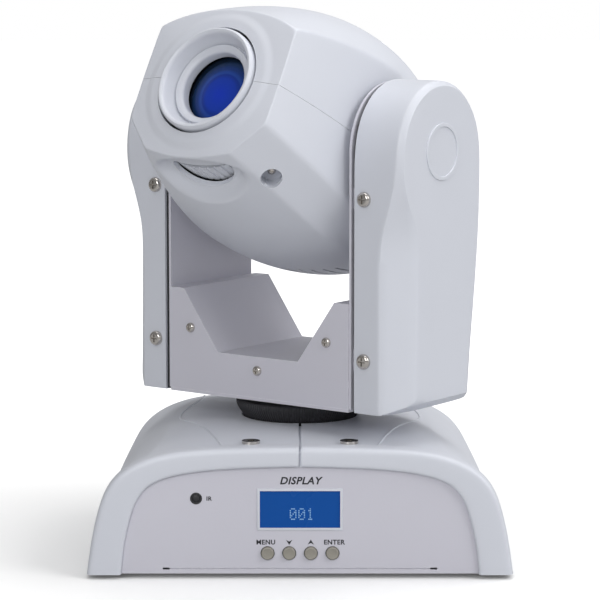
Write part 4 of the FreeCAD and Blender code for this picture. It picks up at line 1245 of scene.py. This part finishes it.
def makeDisplayFrame():
    (left, low), (right, high) = displayFrame["glass"]
    width, lap = displayFrame["width"], displayFrame["lap"]
    front, back = displayFrame["front"], displayFrame["back"]
    frameBlock = block((left - width, front, low - width), (right + width, back, high + width),
                       displayFrame["soften"])
    opening = block((left + lap, front - 5, low + lap), (right - lap, back + 5, high - lap))
    addPiece("displayFrame", carve(frameBlock, [opening]), basePlace, "base", "white_plastic")


def makeIrWindow():
    middle = nodePlace("ir_receiver")[1]
    points = [(r, irWindow["face"] + height) for r, height in irWindow["profile"]]
    window = spunProfile(points, (0, -1, 0), (middle.x, 0, middle.z), 48)
    addPiece("irWindow", window, basePlace, "base", "black_plastic", ["ir_receiver"], angle=45)


makeButtons()
makeIrWindow()
makeDisplayFrame()

# Marks on the front panel: function labels in plain lettering, digits in the display.

panelMarks = {
    "face": -77.84,
    "glass": -77.63,
    "labelHeight": 16.4,
    "labelShift": 0.8,
    "buttonPlaces": (-15.15, -5.05, 5.05, 15.15),
    "letterSize": 3.1,
    "titleHeight": 45.0,
    "titleSize": 4.8,
    "irPlace": (-42.4, 37.2),
    "irSize": 2.8,
    # arrow head round its middle: (across, up)
    "arrow": [(-1.5, -1.2), (0, 1.3), (1.5, -1.2), (0, -0.3)],
    "arrowLift": 1.0,
    "dot": 0.52,
    "pitch": (0.64, 0.82),
    "digitPlaces": (-4.5, -0.5, 3.5),
    "digitFoot": 28.3,
    "zero": ("01110", "10001", "10011", "10101", "11001", "10001", "01110"),
    "one": ("00100", "01100", "00100", "00100", "00100", "00100", "01110"),
}


def inkMaterial(name, colour, glow=0.0):
    material = grainMaterial(name, colour, 0.5, 1500, 0.05, 0.05)
    shader = material.node_tree.nodes["Principled BSDF"]
    shader.inputs["Emission Color"].default_value = (*colour, 1)
    shader.inputs["Emission Strength"].default_value = glow
    return material


def letterMesh(text, size, x, z, y, slant=0):
    data = bpy.data.curves.new("text", "FONT")
    data.body = text
    data.size = size
    data.align_x = "CENTER"
    data.offset = 0.03 * size  # bold
    data.space_character = 1.08
    data.shear = slant
    data.resolution_u = 3
    mesh = pathMesh(data)
    mesh.transform(Matrix.Translation((x, y, z)) @ Matrix.Rotation(math.radians(90), 4, "X"))
    return mesh


def makePanelMarks():
    ink = inkMaterial("panelInk", (0.015, 0.015, 0.02))
    bm = bmesh.new()
    y, low, shift = panelMarks["face"], panelMarks["labelHeight"], panelMarks["labelShift"]
    menuX, downX, upX, enterX = panelMarks["buttonPlaces"]
    for text, x in (("MENU", menuX - shift), ("ENTER", enterX + shift)):
        bm.from_mesh(letterMesh(text, panelMarks["letterSize"], x, low, y))
    bm.from_mesh(letterMesh("DISPLAY", panelMarks["titleSize"], 0, panelMarks["titleHeight"], y, 0.25))
    irX, irZ = panelMarks["irPlace"]
    bm.from_mesh(letterMesh("IR", panelMarks["irSize"], irX, irZ, y))
    middle = low + panelMarks["arrowLift"]
    for x, way in ((downX, -1), (upX, 1)):
        bm.faces.new([bm.verts.new((x + across, y, middle + way * up)) for across, up in panelMarks["arrow"]])
    outward(bm)
    for face in bm.faces:
        if face.normal.y > 0:
            face.normal_flip()
    addPiece("panelInkMarks", bm, basePlace, "base", "black_plastic", finish=ink)


def makeDisplayDigits():
    bm = bmesh.new()
    dot, y = panelMarks["dot"] / 2, panelMarks["glass"]
    across, up = panelMarks["pitch"]
    upright = Matrix.Rotation(math.radians(90), 4, "X")
    for name, left in zip(("zero", "zero", "one"), panelMarks["digitPlaces"]):
        for row, line in enumerate(panelMarks[name]):
            z = panelMarks["digitFoot"] + (6 - row) * up
            for column, lit in enumerate(line):
                if lit == "1":
                    place = Matrix.Translation((left + column * across, y, z)) @ upright
                    bmesh.ops.create_grid(bm, x_segments=1, y_segments=1, size=dot, matrix=place)
    lit = inkMaterial("litDots", (0.22, 0.42, 0.68), 0.1)
    addPiece("displayDigits", bm, basePlace, "base", "display_blue", finish=lit)


makePanelMarks()
makeDisplayDigits()
print("base trim made")
